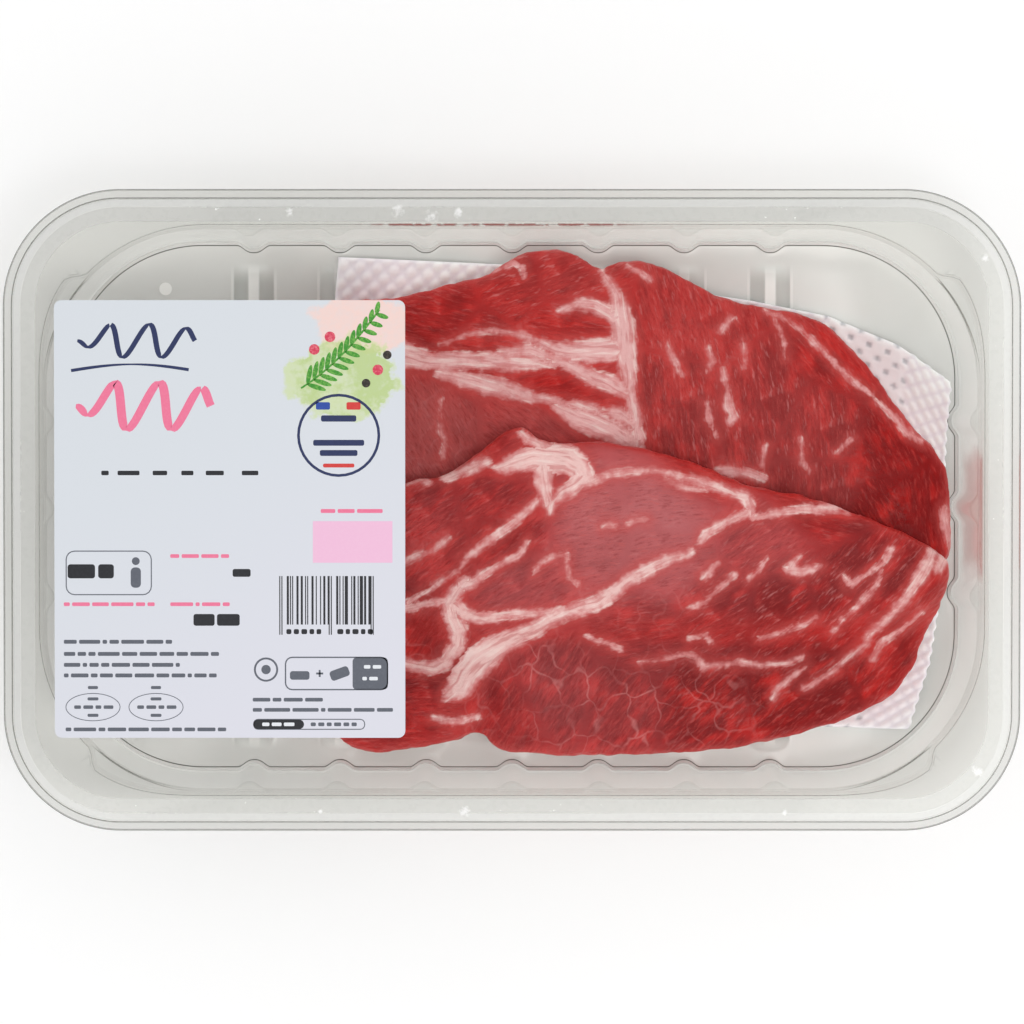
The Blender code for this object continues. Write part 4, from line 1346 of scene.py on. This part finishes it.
def dress_chop(name, node, seams, muscles, height, material):
    """The chop's visible form: muscles swell between seams, and attributes carry its marbling and a
    painted glow on its steep sides.
    """
    piece = fine_copy(node)
    lookup = seam_lookup(seams, height)
    placed = [
        (photo_place(x, y, height), math.radians(angle), values)
        for x, y, angle, *values in muscles
    ]
    mesh = piece.data
    bm = bmesh.new()
    bm.from_mesh(mesh)
    bmesh.ops.smooth_vert(
        bm, verts=bm.verts, factor=0.5, use_axis_x=True, use_axis_y=True, use_axis_z=True
    )
    bm.normal_update()
    seam_layer = bm.verts.layers.float.new("seam")
    side_glow_layer = bm.verts.layers.float.new("rim")
    within_layer = bm.verts.layers.float.new("within")
    share_layers = [bm.verts.layers.float.new(n) for n in ("pale", "deep", "net", "streak")]
    grain_layer = bm.verts.layers.float_vector.new("grain")
    strand_layer = bm.verts.layers.float_vector.new("strand")
    for vert in bm.verts:
        x, y, z = vert.co
        distance, strand = nearest_seam(lookup, x, y)
        number, within, shares = muscle_blend(placed, x, y)
        centre, angle, _ = placed[number]
        dx = x - centre.x
        dy = y - centre.y
        vert[seam_layer] = max(-SEAM_REACH, min(SEAM_REACH, distance / MM))
        vert[strand_layer] = strand
        vert[within_layer] = within
        # Painted light: how steep the side is, which the shader turns into a brighter red
        vert[side_glow_layer] = 1.0 - smoothstep((vert.normal.z - 0.35) / 0.6)
        for layer, share in zip(share_layers, shares):
            vert[layer] = share
        vert[grain_layer] = (
            (dx * math.cos(angle) + dy * math.sin(angle)) / MM,
            (dy * math.cos(angle) - dx * math.sin(angle)) / MM,
            number * 7.0 + z / MM,
        )
        facing = max(vert.normal.z, 0.0)
        spot_here = Vector((x, y, z))
        uneven = CUT_EDGE_WAVE * waver(spot_here, CUT_EDGE_WAVE_SIZE)
        swell = LEAN_SWELL * (1.0 - math.exp(-max(distance, 0.0) / LEAN_SWELL_RUN))
        in_fat = smoothstep(0.5 - distance / FAT_FADE)
        lump = FAT_LUMP * waver(spot_here, FAT_LUMP_SIZE)
        rough = FINE_ROUGH * waver(spot_here, FINE_ROUGH_SIZE)
        vert.co += vert.normal * facing * (swell - LEAN_SWELL + in_fat * (lump + FAT_RISE) + rough)
        vert.co += vert.normal * (1.0 - facing) * uneven
    bm.to_mesh(mesh)
    bm.free()
    mesh.shade_smooth()
    mesh.materials.clear()
    mesh.materials.append(material)
    piece.name = name
    return piece


def raw_meat(name, bright, lean, deep, mauve, fat_pink, fat_white):
    """Moist raw meat: streaky lean, fine fibres, a faint net of fat, stranded fat seams, and
    painted light that makes the steep sides a brighter red.
    """
    paint = Paint(name)
    place = paint.place()
    grain = paint.attribute("grain", "Vector")
    strand = paint.attribute("strand", "Vector")
    seam = paint.attribute("seam")
    rim = paint.attribute("rim")
    within = paint.attribute("within")
    pale = paint.attribute("pale")
    deep_tone_and_shade = paint.attribute("deep")
    net_share = paint.attribute("net")
    streak_share = paint.attribute("streak")

    cloud = paint.noise(place, 0.085, 1.0, 0.55)
    patch = paint.noise(paint.stretched(grain, (0.09, 0.30, 0.2)), 1.0, 2.0, 0.6, "2D")
    patch = 0.5 + (patch - 0.5) * within
    fibre = paint.noise(paint.stretched(grain, (0.30, 1.35, 0.8)), 1.0, 2.0, 0.7, "2D")
    fibre = 0.5 + (fibre - 0.5) * within
    ragged = paint.noise(place, 0.34, 2.0, 0.6)
    warp = paint.noise_colour(place, 0.16, 1.0)

    tone = cloud * 0.45 + patch * 0.55
    # Deeper red by the deep share, which also holds the painted shadow under the front chop's edge
    colour = paint.blend(paint.step(tone - deep_tone_and_shade * 0.24, 0.58, 0.28), srgb(*lean), srgb(*deep))
    colour = paint.blend(paint.step(tone, 0.50, 0.68) * 0.6, colour, srgb(*bright))
    mauve_share = (pale * (0.55 + tone * 0.9)).lowest(0.95)
    colour = paint.blend(mauve_share, colour, srgb(*mauve))
    # Painted light: a brighter red on the steep sides
    colour = paint.blend(rim * 0.7, colour, srgb(184, 48, 46))
    colour = paint.blend(paint.step(fibre, 0.50, 0.74) * 0.26, colour, srgb(206, 88, 84))
    colour = paint.blend(paint.step(fibre, 0.48, 0.28) * 0.32, colour, srgb(*deep))

    cells = paint.cell_edge(paint.shifted(place, 7.0, warp), 0.125)
    line = paint.step(cells, 0.015 + ragged * 0.10, 0.0)
    net = line * net_share * (0.25 + paint.step(cloud + ragged * 0.5, 0.62, 0.90) * 0.75)
    net = net * (1.0 - rim)
    fleck = paint.noise(paint.stretched(grain, (0.20, 0.85, 0.4)), 1.0, 2.0, 0.7, "2D")
    flecks = paint.step(fleck, 0.56, 0.76) * (0.02 + streak_share * 0.75) * within
    marbling = (net * 0.45).highest(flecks * 0.6)

    edge = seam - 0.2 + (ragged - 0.5) * 2.3 + (fibre - 0.5) * 1.3
    soft = 0.15 + cloud * 1.1
    fat = paint.step(edge, soft, 0.1 - soft)
    core = paint.step(seam + (ragged - 0.5) * 4.5, 0.4, -1.8)
    strands = paint.noise(paint.stretched(strand, (0.09, 0.62, 1.0)), 1.0, 2.0, 0.62, "2D")
    fat_colour = paint.blend(core, srgb(*fat_pink), srgb(*fat_white))
    fat_colour = paint.blend(paint.step(strands, 0.48, 0.34) * 0.6, fat_colour, srgb(204, 122, 122))
    fat_colour = paint.blend(paint.step(strands, 0.54, 0.68) * 0.5, fat_colour, srgb(248, 226, 222))

    colour = paint.blend(paint.step(edge, 3.0, 0.0) * 0.42, colour, srgb(200, 80, 78))
    colour = paint.blend(marbling, colour, srgb(*fat_pink))
    colour = paint.blend(fat, colour, fat_colour)

    height = fibre * 0.6 + ragged * 0.9 + fat * 0.3
    relief = paint.bump(height, 0.7, 0.0005)
    wet = paint.step(cloud + ragged * 0.4, 0.66, 0.84)
    return paint.finish(paint.surface({
        "Base Color": colour, "Roughness": 0.44 - wet * 0.14 + fat * 0.06,
        "Specular IOR Level": 0.12, "Normal": relief,
    }))


# Stage

def make_floor():
    """The plain pale floor that the pack stands on."""
    paint = Paint("studio floor")
    place = paint.place()
    shade = paint.blend(paint.noise(place, 0.004, 2.0), srgb(252, 252, 252), srgb(254, 254, 254))
    material = paint.finish(paint.surface({
        "Base Color": shade, "Roughness": 0.8, "Specular IOR Level": 0.0,
    }))
    bm = bmesh.new()
    bmesh.ops.create_grid(bm, x_segments=1, y_segments=1, size=STAGE_HALF_SIZE)
    bmesh.ops.translate(bm, verts=bm.verts, vec=(0, 0, -STAGE_DROP))
    new_piece("studio_floor", bm, material, smooth=False)


def area_light(name, place, size, power):
    """A square light that looks at the middle of the pack."""
    light = bpy.data.lights.new(name, "AREA")
    light.shape = "SQUARE"
    light.size = size
    light.energy = power
    lamp = bpy.data.objects.new(name, light)
    bpy.context.scene.collection.objects.link(lamp)
    lamp.location = place
    way = Vector((0.0, 0.0, 0.5 * FLANGE_TOP)) - Vector(place)
    lamp.rotation_euler = way.to_track_quat("-Z", "Y").to_euler()


def light_stage():
    """A soft bright dome and one wide light above the front."""
    world = bpy.data.worlds.new("studio")
    world.use_nodes = True
    tree = world.node_tree
    sky = tree.nodes["Background"]
    sky.inputs["Strength"].default_value = SKY_STRENGTH
    way = tree.nodes.new("ShaderNodeTexCoord")
    split = tree.nodes.new("ShaderNodeSeparateXYZ")
    ramp = tree.nodes.new("ShaderNodeValToRGB")
    tree.links.new(way.outputs["Generated"], split.inputs[0])
    tree.links.new(split.outputs["Z"], ramp.inputs[0])
    tree.links.new(ramp.outputs["Color"], sky.inputs["Color"])
    ramp.color_ramp.elements.new(SKY_STOPS[1][0])
    for element, (height, level) in zip(ramp.color_ramp.elements, SKY_STOPS):
        element.position = height
        element.color = (level, level, level, 1.0)
    bpy.context.scene.world = world
    area_light("key", KEY_PLACE, KEY_SIZE, KEY_POWER)
    bpy.context.scene.view_settings.view_transform = "Standard"


def place_camera():
    """The photograph's camera: high above the pack and leaning a little."""
    half_frame = 0.5 * FRAME_PIXELS * PIXEL
    camera = bpy.data.cameras.new("camera")
    camera.sensor_width = SENSOR_WIDTH
    camera.lens = 0.5 * SENSOR_WIDTH * CAMERA_ABOVE_FLANGE / half_frame
    camera.clip_start = 0.05
    rig = bpy.data.objects.new("camera", camera)
    bpy.context.scene.collection.objects.link(rig)
    aim_y = (PHOTO_MIDDLE[1] - 0.5 * FRAME_PIXELS) * PIXEL
    rig.location = (0.0, aim_y + VIEW_LEAN * CAMERA_ABOVE_FLANGE, FLANGE_TOP + CAMERA_ABOVE_FLANGE)
    rig.rotation_euler = (-math.atan(VIEW_LEAN), 0.0, 0.0)
    bpy.context.scene.camera = rig


def add_piece(piece, slot, *nodes):
    """Puts a finished piece on the pack, in the place of the nodes that it stands for."""
    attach(piece, "root")
    if nodes:
        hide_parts(*nodes)


def build():
    """Makes each visible piece and dresses the film's and label's own nodes."""
    below = outer_sheet("clear tray outer face", CLEAR)
    below_rim = outer_sheet("clear tray rim outer face", SHADED)
    tray = make_tray(floor_sheet(), wall_sheet(), rim_sheet(), below, below_rim)
    add_piece(tray, "clear_plastic", "tray")
    add_piece(make_pad(pad_fibre()), "pad_fibre", "pad")
    dark_meat = raw_meat(
        "dark chop meat", bright=(204, 42, 38), lean=(186, 30, 28), deep=(132, 16, 18),
        mauve=(172, 82, 82), fat_pink=(214, 136, 136), fat_white=(232, 180, 180),
    )
    back = dress_chop("back_chop", "chop_back", BACK_SEAMS, BACK_MUSCLES, BACK_TOP, dark_meat)
    add_piece(back, "dark_meat", "chop_back")
    pale_meat = raw_meat(
        "pale chop meat", bright=(202, 38, 34), lean=(172, 26, 24), deep=(122, 16, 18),
        mauve=(184, 100, 104), fat_pink=(214, 136, 136), fat_white=(238, 196, 194),
    )
    front = dress_chop("front_chop", "chop_front", FRONT_SEAMS, FRONT_MUSCLES, FRONT_TOP, pale_meat)
    add_piece(front, "pale_meat", "chop_front")
    add_piece(make_seal(sealed_band()), "clear_film")
    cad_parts["film"].data.materials.clear()
    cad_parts["film"].data.materials.append(clear_film())
    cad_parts["label"].data.materials.clear()
    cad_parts["label"].data.materials.append(label_paper())
    print_label()


build()
make_floor()
light_stage()
place_camera()
